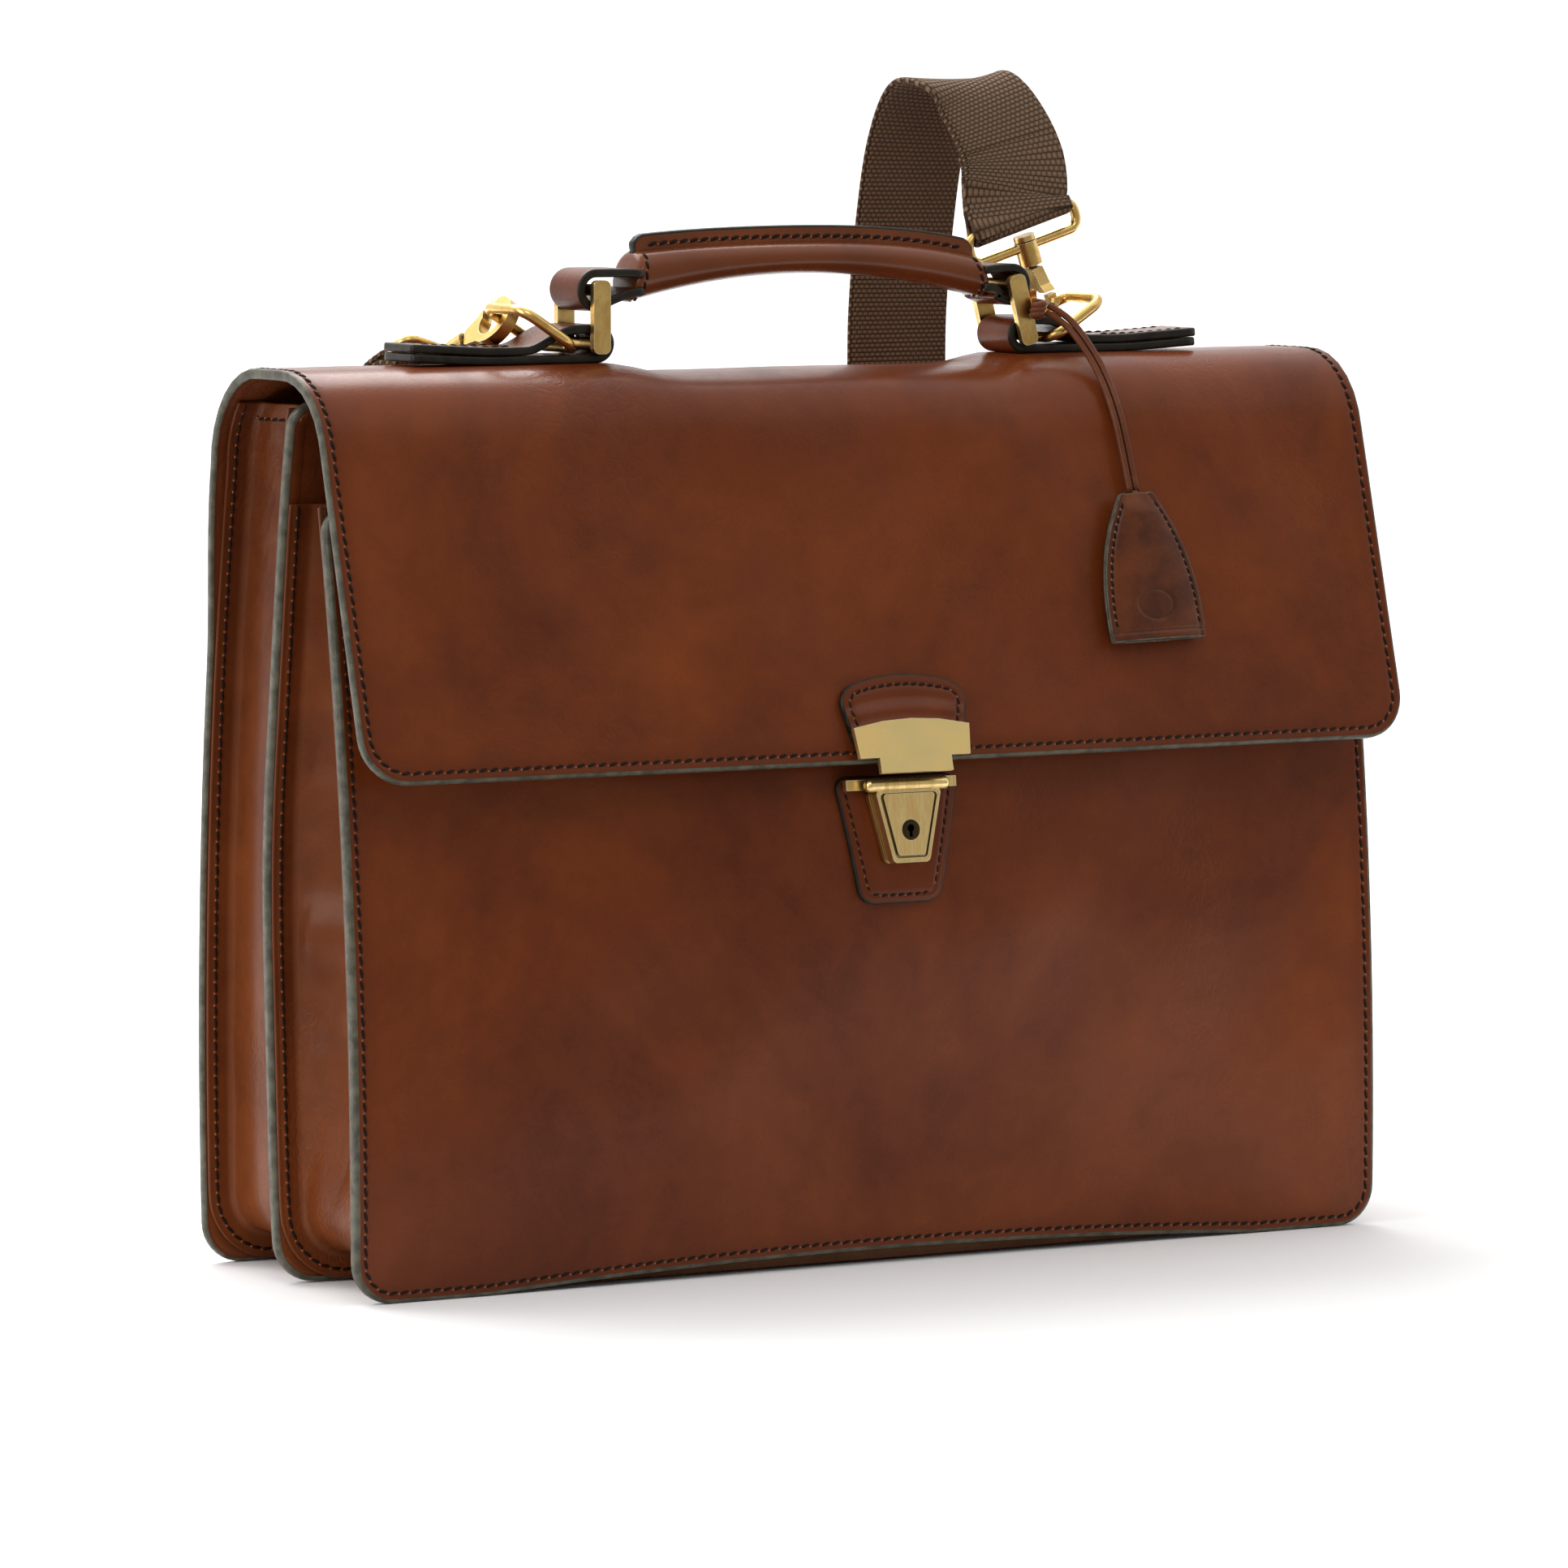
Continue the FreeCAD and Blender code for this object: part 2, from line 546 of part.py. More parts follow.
def strap_wire():
    """The wire loop that the webbing is sewn round, with its barrel turning on the hook's post."""
    half = STRAP_WIDTH / 2 + 2.4
    corners = [V(-half, 0, WIRE_LOW), V(half, 0, WIRE_LOW), V(half, 0, WIRE_HIGH), V(-half, 0, WIRE_HIGH)]
    loop = wire_loop(corners, WIRE_R, 4.0)
    barrel = rod(V(0, 0, 14.0), V(0, 0, POST_TOP - 0.4), SWIVEL_R + 2.0)
    bore = rod(V(0, 0, 10.0), V(0, 0, POST_TOP + 1), SWIVEL_R + 0.12)
    return fuse([loop, barrel]).cut(bore)


RIGHT_SHANK = V(-0.3, 0, 0.954)
LEFT_SHANK = V(-0.40, 0.76, -0.52)
REAR_WIRE = RING_HALF + DRING_WIRE_R + 0.3
RIGHT_HOOK = Hook(d_ring_point(1, 15, REAR_WIRE) + RIGHT_SHANK * 3, RIGHT_SHANK, V(0.84, 0, 0.54))
LEFT_HOOK = Hook(d_ring_point(-1, 16, REAR_WIRE) + LEFT_SHANK * 3 + V(0, 0, 0.8), LEFT_SHANK, V(0.84, 0, -0.54))
RIGHT_WIRE = Hook(RIGHT_HOOK.eye, RIGHT_SHANK, V(0, 1, 0))
LEFT_WIRE = Hook(LEFT_HOOK.eye, LEFT_SHANK, V(0.2, 0.25, 1))


# ---- shoulder strap -----------------------------------------------------------------------------------------
def ribbon(stations, thickness):
    """A strip through stations of (middle, width direction, face direction), as a ruled solid."""
    wires = []
    for middle, wide, face in stations:
        wide = V(wide).normalize() * (STRAP_WIDTH / 2)
        face = V(face).normalize() * (thickness / 2)
        loop = [middle + wide + face, middle - wide + face, middle - wide - face, middle + wide - face]
        wires.append(Part.makePolygon(loop + loop[:1]))
    return Part.makeLoft(wires, True, True)


def stations(points, widths):
    """Each station's face direction is square to the run and to the width."""
    found = []
    for k, middle in enumerate(points):
        run = points[min(k + 1, len(points) - 1)] - points[max(k - 1, 0)]
        wide = V(widths[k])
        found.append((middle, wide, run.cross(wide)))
    return found


STRAP_BACK_DRAWN = 70.0  # the arches' places below are drawn for this depth
STRAP_BACK_Y = BASE_HALF_DEPTH + 12.0
STRAP_DROP_X = 80.5
STRAP_RISE_X = -131.0
STRAP_TURN_Y = BASE_HALF_DEPTH + 26.0
STRAP_FOOT_Z = 34.0
ADJUSTER_DROP = 42.0
STRAP_SWING_Z = HEIGHT - 14.0
SWING_GAP = 1.2          # the arches' ends stay this far above the hanging part
SEWN_END = WIRE_HIGH + WIRE_R + STRAP_T / 2 + 0.8
RIGHT_ARCH = [(97, 18, 68), (91, 28, 87), (86, 37, 93), (83, 48, 90), (81.5, 58, 72), (81, 65, 44), (80.5, 69, 14)]
LEFT_ARCH = [(-127.5, 54, -8), (-130.5, 65, -10.5)]
X_WAY = V(1, 0, 0)


def arch(start, places, end):
    """Points from a sewn end to a hanging end: places give x, y for the drawn depth, and height above the bag."""
    drawn_y = STRAP_BACK_DRAWN
    points = [start]
    for x, y, rise in places:
        share = (y - HARDWARE_Y) / (drawn_y - HARDWARE_Y)
        points.append(V(x, HARDWARE_Y + share * (STRAP_BACK_Y - HARDWARE_Y), HEIGHT + rise))
    return points + [end]


def strap_right_arch():
    """The webbing from its sewn end on the right wire loop, up over its crest and down behind the bag."""
    tilted = V(0.956, 0, 0.292)
    end = V(STRAP_DROP_X, STRAP_BACK_Y, STRAP_SWING_Z + SWING_GAP)
    points = arch(RIGHT_WIRE.point(SEWN_END), RIGHT_ARCH, end)
    widths = [tilted, V(0.965, 0.02, 0.2), V(0.985, 0.03, 0.1), X_WAY, X_WAY, X_WAY, X_WAY, X_WAY, X_WAY]
    return ribbon(stations(points, widths), STRAP_T)


def strap_left_arch():
    """The webbing from the left wire loop, over the back edge of the flap's top."""
    points = arch(LEFT_WIRE.point(SEWN_END), LEFT_ARCH, V(STRAP_RISE_X, STRAP_BACK_Y, STRAP_SWING_Z + SWING_GAP))
    widths = [V(0.887, 0.434, -0.155), V(0.97, 0.2, 0), X_WAY, X_WAY]
    return ribbon(stations(points, widths), STRAP_T)


def strap_hanging():
    """The hidden length: down behind the back panel, a half turn, across low down and up again."""
    top = STRAP_SWING_Z
    drop = [(STRAP_BACK_Y, top, 0), (STRAP_BACK_Y, top - 77, 0), (STRAP_BACK_Y + 6, top - 112, 30)]
    drop += [(STRAP_TURN_Y, top - 147, 60), (STRAP_TURN_Y + 1, top - 182, 90)]
    across = STRAP_DROP_X - STRAP_RISE_X
    middle_x, half = (STRAP_DROP_X + STRAP_RISE_X) / 2, across / 2
    points, widths = [], []
    for y, z, twist in drop:
        points.append(V(STRAP_DROP_X, y, z))
        widths.append(V(math.cos(math.radians(twist)), math.sin(math.radians(twist)), 0))
    turns = 8
    for k in range(1, turns):
        angle = math.pi * k / turns
        z = drop[-1][1] - (drop[-1][1] - STRAP_FOOT_Z) * math.sin(angle)
        points.append(V(middle_x + half * math.cos(angle), drop[-1][0], z))
        widths.append(V(0, 1, 0))
    for y, z, twist in reversed(drop):
        points.append(V(STRAP_RISE_X, y, z))
        widths.append(V(-math.cos(math.radians(twist)), math.sin(math.radians(twist)), 0))
    return ribbon(stations(points, widths), STRAP_T)


def strap_adjuster():
    """A flat brass slide round the webbing, which sets the strap's length."""
    z, reach = STRAP_SWING_Z - ADJUSTER_DROP, STRAP_WIDTH / 2 + 1.0
    rail, plate = 3.2, 1.6
    front, back = STRAP_BACK_Y - STRAP_T / 2 - 0.3, STRAP_BACK_Y + STRAP_T / 2 + 0.3
    x0, x1 = STRAP_DROP_X - reach, STRAP_DROP_X + reach
    sides = [box(x, x + rail, front - plate, back + plate, z - 12, z + 12) for x in (x0 - rail, x1)]
    bars = [box(x0, x1, back, back + plate, low, low + 3.2) for low in (z - 12, z + 8.8)]
    return fuse(sides + bars + [box(x0, x1, front - plate, front, z - 1.8, z + 1.8)])


# ---- lock ---------------------------------------------------------------------------------------------------
STUD_R = 1.6
LOCK_SCREW_R = 1.5
LOCK_X = 11.0
UPPER_DOWN = LEAF_LENGTH - 1.5      # plate's middle, down the leaf
SLIDE_T = 4.2
LOCK_BASE_T = 2.4
SLIDE_TRAVEL = 4.0


def lock_lean():
    """Slope of the swollen front panel at the lock, degrees, foot forward."""
    rise = 12.0
    drop = front_y(0, LOCK_Z + rise) - front_y(0, LOCK_Z - rise)
    return math.degrees(math.atan2(drop, 2 * rise))


def on_lock(shape):
    """Move a shape made facing -Y about the origin onto the front patch, at the keyhole."""
    out = PATCH_T + 0.45
    tilted = turned(shape, -lock_lean(), V(0, 0, 0), V(1, 0, 0))
    return moved(tilted, V(0, front_y(0, LOCK_Z, out), LOCK_Z))


def on_leaf(shape, x, down, outward):
    """Move a shape made facing -Y about the origin onto the leaf."""
    tilted = turned(shape, -LEAF_TILT, V(0, 0, 0), V(1, 0, 0))
    return moved(tilted, leaf_point(x, down, outward))


def rounded_plate(points, y0, y1, radius):
    plate = prism_y(points, y0, y1)
    corners = [e for e in plate.Edges if abs(e.Length - (y1 - y0)) < 1e-6]
    return plate.makeFillet(radius, corners)


def lower_patch():
    """Leather patch under the lock: straight top, narrowing to a rounded foot."""
    head, foot = LOCK_Z + 18, LOCK_Z - 24
    shape = rounded_plate([(-24, head), (24, head), (15.5, foot), (-15.5, foot)], -200, 0, 5)
    layer = front_layer(PATCH_T + GLUE_GAP, GLUE_GAP, -32, 32, foot - 7, head + 7)
    return layer.common(shape).cut(lock_screws(LOCK_SCREW_R + GLUE_GAP))


def upper_patch():
    """Leather patch on the leaf behind the upper plate, with a crowned top."""
    foot, head = FLAP_BOTTOM_Z + 3, FLAP_BOTTOM_Z + 27.6
    shape = rounded_plate([(-21, foot), (21, foot), (25.5, head - 5), (0.0, head), (-25.5, head - 5)], -200, 0, 2.4)
    down1 = LEAF_LENGTH - 1
    layer = leaf_layer(PATCH_T + GLUE_GAP, GLUE_GAP, -32, 32, down1 - 34, down1)
    return layer.common(shape).cut(upper_studs(STUD_R + GLUE_GAP))


def upper_studs(radius):
    """Two studs behind the upper plate, through patch and leaf."""
    shapes = []
    for side in (-1, 1):
        stud = rod(V(side * 15.5, -0.05, 7), V(side * 15.5, FLAP_T + PATCH_T + 1.5, 7), radius)
        shapes.append(on_leaf(stud, 0, UPPER_DOWN, PATCH_T + 0.35))
    return Part.makeCompound(shapes)


def upper_plate():
    """Brass plate with a crowned top and a narrower foot that drops in front of the lock."""
    ends, crown, step, foot = 9.6, 12.2, -0.9, -6.2
    outline_ = [(-22.5, ends), (-21.4, step), (-14, step), (-14, foot), (14, foot), (14, step), (21.4, step)]
    outline_ += [(22.5, ends), (11, (ends + crown) / 2 + 0.7), (0, crown), (-11, (ends + crown) / 2 + 0.7)]
    plate = on_leaf(prism_y(outline_, -PLATE_T, 0), 0, UPPER_DOWN, PATCH_T + 0.35)
    return fuse([plate] + upper_studs(STUD_R).Solids)


def lock_screws(radius):
    """Screws that clamp the lock's base to its backing plate, through patch and panel."""
    shapes = []
    for x, z in ((-LOCK_X, 12.0), (LOCK_X, 12.0), (0, -8.0)):
        length = LOCK_BASE_T / 2 + PATCH_T + PANEL_T + 2.3
        shapes.append(on_lock(rod(V(x, -LOCK_BASE_T / 2, z), V(x, length - LOCK_BASE_T / 2, z), radius)))
    return Part.makeCompound(shapes)


def lock_base():
    """Base plate of the lower lock, with a wide bar along its top and holes for its screws."""
    plate = rounded_plate([(-13.5, 14), (13.5, 14), (7.4, -11), (-7.4, -11)], -LOCK_BASE_T, 0, 2)
    bar = box(-21.5, 21.5, -LOCK_BASE_T, 0, 14.0, 17.6)
    return on_lock(fuse([plate, bar])).cut(lock_screws(LOCK_SCREW_R + 0.05))


def lock_backing():
    """Plate inside the bag that the lock's screws pull against."""
    plate = rounded_plate([(-16, 16), (16, 16), (9, -13), (-9, -13)], 0, 1.2, 2)
    return on_lock(moved(plate, V(0, PATCH_T + PANEL_T + 1.3, 0))).cut(lock_screws(LOCK_SCREW_R + 0.05))


def lock_slide():
    """The thumb slide: a rounded bar across its top over a narrowing body that holds the key's rotor."""
    back = -LOCK_BASE_T - 0.3
    body = rounded_plate([(-13, 14.2), (13, 14.2), (7, -11), (-7, -11)], back - SLIDE_T, back, 2)
    sunk = rounded_plate([(-11.4, 12.6), (11.4, 12.6), (6, -9.4), (-6, -9.4)], back - SLIDE_T - 1, back - SLIDE_T + 0.8, 1.4)
    inner = rounded_plate([(-10.2, 12.4), (10.2, 12.4), (5.2, -8.6), (-5.2, -8.6)], back - SLIDE_T - 0.3, back - 1, 1.2)
    bar = rod(V(-16.2, back - SLIDE_T + 1.2, 15.4), V(16.2, back - SLIDE_T + 1.2, 15.4), 2.3)
    bar = bar.makeFillet(1.8, [e for e in bar.Edges if e.Length < 15])
    whole = fuse([body.cut(sunk), inner, bar])
    bore = rod(V(0, back - SLIDE_T - 2, 0), V(0, back + 1, 0), ROTOR_R + ROTOR_GAP)
    clear = box(-30, 30, back, 30, -30, 30)
    return on_lock(whole.cut(bore).cut(clear))


def key_rotor():
    """The turning barrel, with a keyhole through its face."""
    back = -LOCK_BASE_T - 0.3
    barrel = rod(V(0, back - SLIDE_T - 0.3, 0), V(0, back - 0.1, 0), ROTOR_R)
    hole = rod(V(0, back - SLIDE_T - 2, 0.6), V(0, back - 1.2, 0.6), 1.3)
    slot = box(-0.6, 0.6, back - SLIDE_T - 2, back - 1.2, -2.4, 0.6)
    return on_lock(barrel.cut(fuse([hole, slot])))


# ---- key bell and lace --------------------------------------------------------------------------------------
BELL_OUT = BELL_STAND + BELL_WALL + BELL_CAVITY / 2
BELL_DOWN = (LEAF_TOP.z - BELL_TOP_Z) / -LEAF_DOWN.z


def on_bell(shape):
    """Move a shape made hanging from the origin, facing -Y, to the key bell's place on the leaf."""
    swung = turned(shape, -BELL_TILT, V(0, 0, 0), V(0, 1, 0))
    return on_leaf(swung, BELL_X, BELL_DOWN, BELL_OUT)


def key_bell():
    """Two leaves of leather sewn at the sides, open at the foot and just pierced at the top."""
    half = BELL_CAVITY / 2 + BELL_WALL
    top, foot = BELL_TOP_WIDTH / 2, BELL_FOOT_WIDTH / 2
    shoulder = 0.55 * (top + foot) + 1.0
    outer = [(-top, 0), (top, 0), (shoulder, -0.36 * BELL_LENGTH), (foot, -BELL_LENGTH)]
    outer += [(-foot, -BELL_LENGTH), (-shoulder, -0.36 * BELL_LENGTH)]
    rim = 2.6
    inner = [(-top + rim, -rim), (top - rim, -rim), (shoulder - rim, -0.36 * BELL_LENGTH)]
    inner += [(foot - rim, -BELL_LENGTH - 1), (-foot + rim, -BELL_LENGTH - 1), (-shoulder + rim, -0.36 * BELL_LENGTH)]
    cavity = prism_y(inner, -BELL_CAVITY / 2, BELL_CAVITY / 2)
    hole = box(-LACE_HOLE, LACE_HOLE, -BELL_CAVITY / 2, BELL_CAVITY / 2, -rim - 1, 1)
    return on_bell(prism_y(outer, -half, half).cut(cavity).cut(hole))


LACE_HOLE = 2 * LACE_R + LACE_GAP + 0.5


def keys():
    """Two flat keys on the lace's end, inside the bell."""
    made = []
    for side in (-1, 1):
        y0 = side * 0.7 - 0.5
        bow = rod(V(0, y0, -16), V(0, y0 + 1.0, -16), 5.5)
        bow = bow.cut(rod(V(0, y0 - 1, -13.2), V(0, y0 + 2, -13.2), 1.5))
        blade = box(-2.2, 2.2, y0, y0 + 1.0, -45, -17)
        bits = box(2.0, 4.0, y0, y0 + 1.0, -44, -37)
        made.append(on_bell(turned(fuse([bow, blade, bits]), side * 2, V(0, 0, -16), V(0, 1, 0))))
    return Part.makeCompound(made)


LACE_ROUTE = [
    V(88.5, -19.0, 321.5), V(93.5, -21.5, 319.0), V(97.5, -27.5, 311.5), V(100.0, -36.5, 300.5),
    V(101.2, -44.5, 287.0), V(102.2, -49.0, 272.5), V(103.0, -52.6, 259.5),
]


def cord_tube(name, route, radius):
    """Straight runs joined by tangent arcs, each arc as large as its runs allow."""
    edges, start, radii = [], route[0], []
    for k in range(1, len(route) - 1):
        before, at, after = route[k - 1 : k + 2]
        into, out = (at - before).normalize(), (after - at).normalize()
        half_turn = into.getAngle(out) / 2
        trim = 0.45 * min((at - before).Length, (after - at).Length)
        arc_r = trim / math.tan(half_turn)
        radii.append(round(arc_r, 1))
        a, b = at - into * trim, at + out * trim
        to_middle = (out - into).normalize()
        middle = at + to_middle * (arc_r / math.cos(half_turn) - arc_r)
        edges += [Part.makeLine(start, a), Part.Arc(a, middle, b).toShape()]
        start = b
    edges.append(Part.makeLine(start, route[-1]))
    wire = Part.Wire(edges)
    section = Part.Wire(Part.makeCircle(radius, route[0], route[1] - route[0]))
    tube = wire.makePipeShell([section], True, True)
    share = tube.Volume / (math.pi * radius**2 * wire.Length)
    print(name, "length", round(wire.Length, 1), "radii", radii, "volume share", round(share, 4))
    return tube


def lace_strand(side):
    """One of the lace's two strands, from its knot over the flap's front bend to the bell."""
    apart = side * (LACE_R + LACE_GAP / 2)
    spread = [V(0.35, 0, 0.94), V(0.6, 0, 0.8), V(0.9, 0, 0.44)] + [V(0.98, 0, 0.18)] * (len(LACE_ROUTE) - 3)
    return cord_tube(f"lace {side}", [p + way * apart for p, way in zip(LACE_ROUTE, spread)], LACE_R)


def lace_knot():
    """The hitch of the lace round the right ring, as one small closed lump."""
    at = LACE_ROUTE[0]
    return box(at.x - 5.5, at.x - 1.6, at.y - 1.6, at.y + 1.6, at.z - 4, at.z + 3.4)


def lace_tail():
    """The lace's end inside the bell, down to the keys."""
    tail = rod(V(0, 0, -0.4), V(0, 0, -9.8), LACE_R)
    return on_bell(tail)


# ---- build --------------------------------------------------------------------------------------------------
def main():
    os.makedirs("parts", exist_ok=True)
    for build in (
        back_panel, back_lining, divider_panel, front_panel, slip_pocket, rear_gusset, front_gusset, rear_bend,
        flap_top, front_bend, flap_leaf, tab_left, handle_grip, handle_seam, strap_right_arch, strap_left_arch,
        strap_hanging, strap_adjuster, lower_patch, upper_patch, upper_plate, lock_base, lock_backing,
        lock_slide, key_rotor, key_bell, keys, lace_knot, lace_tail,
    ):
        save(build.__name__, build())
    save("tab_right", mirrored(tab_left()))
    save("lock_screws", lock_screws(LOCK_SCREW_R))
    left, right = handle_tongues()
    save("tongue_left", left)
    save("tongue_right", right)
    save("ring_left", ring(-RING_X, 0))
    save("ring_right", ring(RING_X, -RING_RIGHT_LEAN))
    save("lace_strand_left", lace_strand(-1))
    save("lace_strand_right", lace_strand(1))
    for side, name, hook, wire in ((-1, "left", LEFT_HOOK, LEFT_WIRE), (1, "right", RIGHT_HOOK, RIGHT_WIRE)):
        save("d_ring_" + name, d_ring(side))
        save("hook_" + name, hook.place(hook_frame()))
        save("gate_" + name, hook.place(hook_gate()))
        save("strap_wire_" + name, wire.place(strap_wire()))


main()
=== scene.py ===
# %% [markdown]
# # A flap-over leather briefcase
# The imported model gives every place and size: its boxes, its bodies and its joints. This lesson dresses that
# frame in leather, thread, webbing and brass. Each step says what the piece is on the real bag and why it is
# made the way it is.

import math

import bmesh
import bpy
import numpy as np
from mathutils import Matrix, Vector


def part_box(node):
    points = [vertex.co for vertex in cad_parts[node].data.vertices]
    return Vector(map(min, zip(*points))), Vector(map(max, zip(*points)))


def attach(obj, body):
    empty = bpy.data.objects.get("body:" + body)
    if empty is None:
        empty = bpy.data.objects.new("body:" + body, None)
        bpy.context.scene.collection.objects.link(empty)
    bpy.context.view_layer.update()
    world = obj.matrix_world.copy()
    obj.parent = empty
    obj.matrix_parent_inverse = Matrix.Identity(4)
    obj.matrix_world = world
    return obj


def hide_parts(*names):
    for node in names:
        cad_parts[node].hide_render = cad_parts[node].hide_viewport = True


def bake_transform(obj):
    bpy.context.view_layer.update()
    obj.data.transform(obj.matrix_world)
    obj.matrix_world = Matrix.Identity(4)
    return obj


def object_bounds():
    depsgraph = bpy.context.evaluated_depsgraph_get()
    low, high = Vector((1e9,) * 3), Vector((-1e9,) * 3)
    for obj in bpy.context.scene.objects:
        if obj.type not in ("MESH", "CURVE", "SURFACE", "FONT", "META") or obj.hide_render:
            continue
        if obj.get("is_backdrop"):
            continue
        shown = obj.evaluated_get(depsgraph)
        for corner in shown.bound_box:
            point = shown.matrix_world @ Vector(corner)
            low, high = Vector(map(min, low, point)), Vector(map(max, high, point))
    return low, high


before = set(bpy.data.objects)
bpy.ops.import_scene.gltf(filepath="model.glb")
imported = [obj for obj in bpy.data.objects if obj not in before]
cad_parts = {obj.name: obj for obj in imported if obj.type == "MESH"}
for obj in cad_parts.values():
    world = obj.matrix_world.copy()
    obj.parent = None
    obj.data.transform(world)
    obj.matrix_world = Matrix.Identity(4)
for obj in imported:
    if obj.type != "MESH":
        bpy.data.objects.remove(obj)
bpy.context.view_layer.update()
MM = 0.001

# %% [markdown]
# The camera stands well back with a long lens, so that upright edges stay nearly parallel. It looks at a point
# halfway up the bag, and a small shift puts the bag where it belongs in the picture.

# %% Camera
CAMERA_AZIMUTH, CAMERA_ELEVATION = -29.79, 5.06
CAMERA_DISTANCE = 3.0
AIM = Vector((0, 0, 0.16))


def add_camera():
    azimuth, elevation = math.radians(CAMERA_AZIMUTH), math.radians(CAMERA_ELEVATION)
    level = math.cos(elevation)
    back = Vector((math.sin(azimuth) * level, -math.cos(azimuth) * level, math.sin(elevation)))
    camera = bpy.data.cameras.new("camera")
    camera.lens, camera.sensor_width = 200.3, 36.0
    camera.shift_x, camera.shift_y = -0.0083, -0.0014
    camera.clip_start, camera.clip_end = 0.1, 50.0
    holder = bpy.data.objects.new("camera", camera)
    holder.location = AIM + back * CAMERA_DISTANCE
    holder.rotation_mode = "QUATERNION"
    holder.rotation_quaternion = (-back).to_track_quat("-Z", "Y")
    bpy.context.scene.collection.objects.link(holder)
    bpy.context.scene.camera = holder
    return holder


print("camera at", [round(v, 3) for v in add_camera().location])

# %% [markdown]
# Every surface here is made from numbers, so a few small helpers come first. `as_object` turns points and faces
# into a smooth mesh. It also stores each point's resting place, which the patterns read, so that the grain moves
# with the leather when the flap bends.

# %% Mesh helpers
def as_object(name, points, faces, materials, slots=None):
    mesh = bpy.data.meshes.new(name)
    mesh.from_pydata([tuple(p) for p in points], [], [tuple(int(i) for i in f) for f in faces])
    mesh.polygons.foreach_set("use_smooth", [True] * len(mesh.polygons))
    for material in materials:
        mesh.materials.append(material)
    if slots is not None:
        mesh.polygons.foreach_set("material_index", list(slots))
    obj = bpy.data.objects.new(name, mesh)
    bpy.context.scene.collection.objects.link(obj)
    face_outward(mesh)
    keep_place(mesh)
    return obj


def face_outward(mesh):
    bm = bmesh.new()
    bm.from_mesh(mesh)
    bmesh.ops.recalc_face_normals(bm, faces=bm.faces)
    bm.to_mesh(mesh)
    bm.free()


def keep_place(mesh):
    place = mesh.attributes.get("place") or mesh.attributes.new("place", "FLOAT_VECTOR", "POINT")
    places = np.zeros(len(mesh.vertices) * 3)
    mesh.vertices.foreach_get("co", places)
    place.data.foreach_set("vector", places)


def unit(vectors):
    return vectors / np.maximum(np.linalg.norm(vectors, axis=-1, keepdims=True), 1e-12)


def smooth_step(value, low, high):
    t = np.clip((value - low) / (high - low), 0, 1)
    return t * t * (3 - 2 * t)


# %% [markdown]
# Leather panels are cut with rounded corners and their stitching follows the edge at a steady distance. `graded`
# puts mesh lines close together where that stitching runs, and `edge_distance` measures how far any spot is from
# the cut edge, so that grooves, burnishing and stitches all agree.

# %% Layout of a cut panel
NEAR_EDGE = np.array([0, 0.7, 1.4, 2.1, 2.8, 3.5, 4.3, 5.6, 7.5, 10, 13.5, 18]) * MM


def graded(length, pitch=7 * MM, start=True, end=True):
    """Places along a length, close together at the ends that have stitching."""
    first = NEAR_EDGE[-1] if start else 0.0
    last = length - (NEAR_EDGE[-1] if end else 0.0)
    middle = np.linspace(first, last, max(3, round((last - first) / pitch) + 1))
    parts = ([NEAR_EDGE[:-1]] if start else []) + [middle]
    parts += [length - NEAR_EDGE[-2::-1]] if end else []
    return np.concatenate(parts)


def corner_rows(places, radius, length, low=True, high=False):
    """Adds rows round a corner's arc to graded places."""
    arc = radius * (1 - np.cos(np.linspace(0, math.pi / 2, 10)))
    keep = places
    if low:
        keep = np.concatenate([arc, keep[keep > radius + 0.3 * MM]])
    if high:
        keep = np.concatenate([keep[keep < length - radius - 0.3 * MM], length - arc[::-1]])
    return keep


def half_width(half, from_end, radius):
    """Half width of a panel at a distance from its end, where its corners are rounded."""
    inside = np.clip(radius - from_end, 0, radius)
    return half - radius + np.sqrt(np.maximum(radius**2 - inside**2, 0))


def edge_distance(x, from_low, from_high, half, radius_low, radius_high=1e-6):
    """Distance to the cut edge of a rounded panel."""
    nearer_low = from_low < from_high
    radius = np.where(nearer_low, radius_low, radius_high)
    end = np.minimum(from_low, from_high)
    to_side = np.abs(x) - (half - radius)
    to_end = radius - end
    corner = np.hypot(np.maximum(to_side, 0), np.maximum(to_end, 0))
    return radius - corner - np.minimum(np.maximum(to_side, to_end), 0)


def waves(u, v, scale, seed, depth=4):
    """Soft irregular waves between about -1 and 1, the same each run."""
    random = np.random.default_rng(seed)
    total = np.zeros(np.broadcast(u, v).shape)
    for k in range(depth * 3):
        way, size = random.uniform(0, math.pi), random.uniform(0.6, 1.8) / scale
        phase = random.uniform(0, 2 * math.pi)
        total = total + np.sin(2 * math.pi * size * (u * math.cos(way) + v * math.sin(way)) + phase)
    return total / math.sqrt(depth * 3)


# %% [markdown]
# A piece of leather has a face, a thickness and a rounded, painted edge. A Solidify modifier would do the first
# two, but a rim built by hand gives the edge its own round profile and its own material, which is what makes cut
# leather look like leather. The grid given here is the face inside the rounding; the rim grows outward from it.

# %% Leather sheet builder
RIM_ANGLES = np.radians([30, 60, 90])


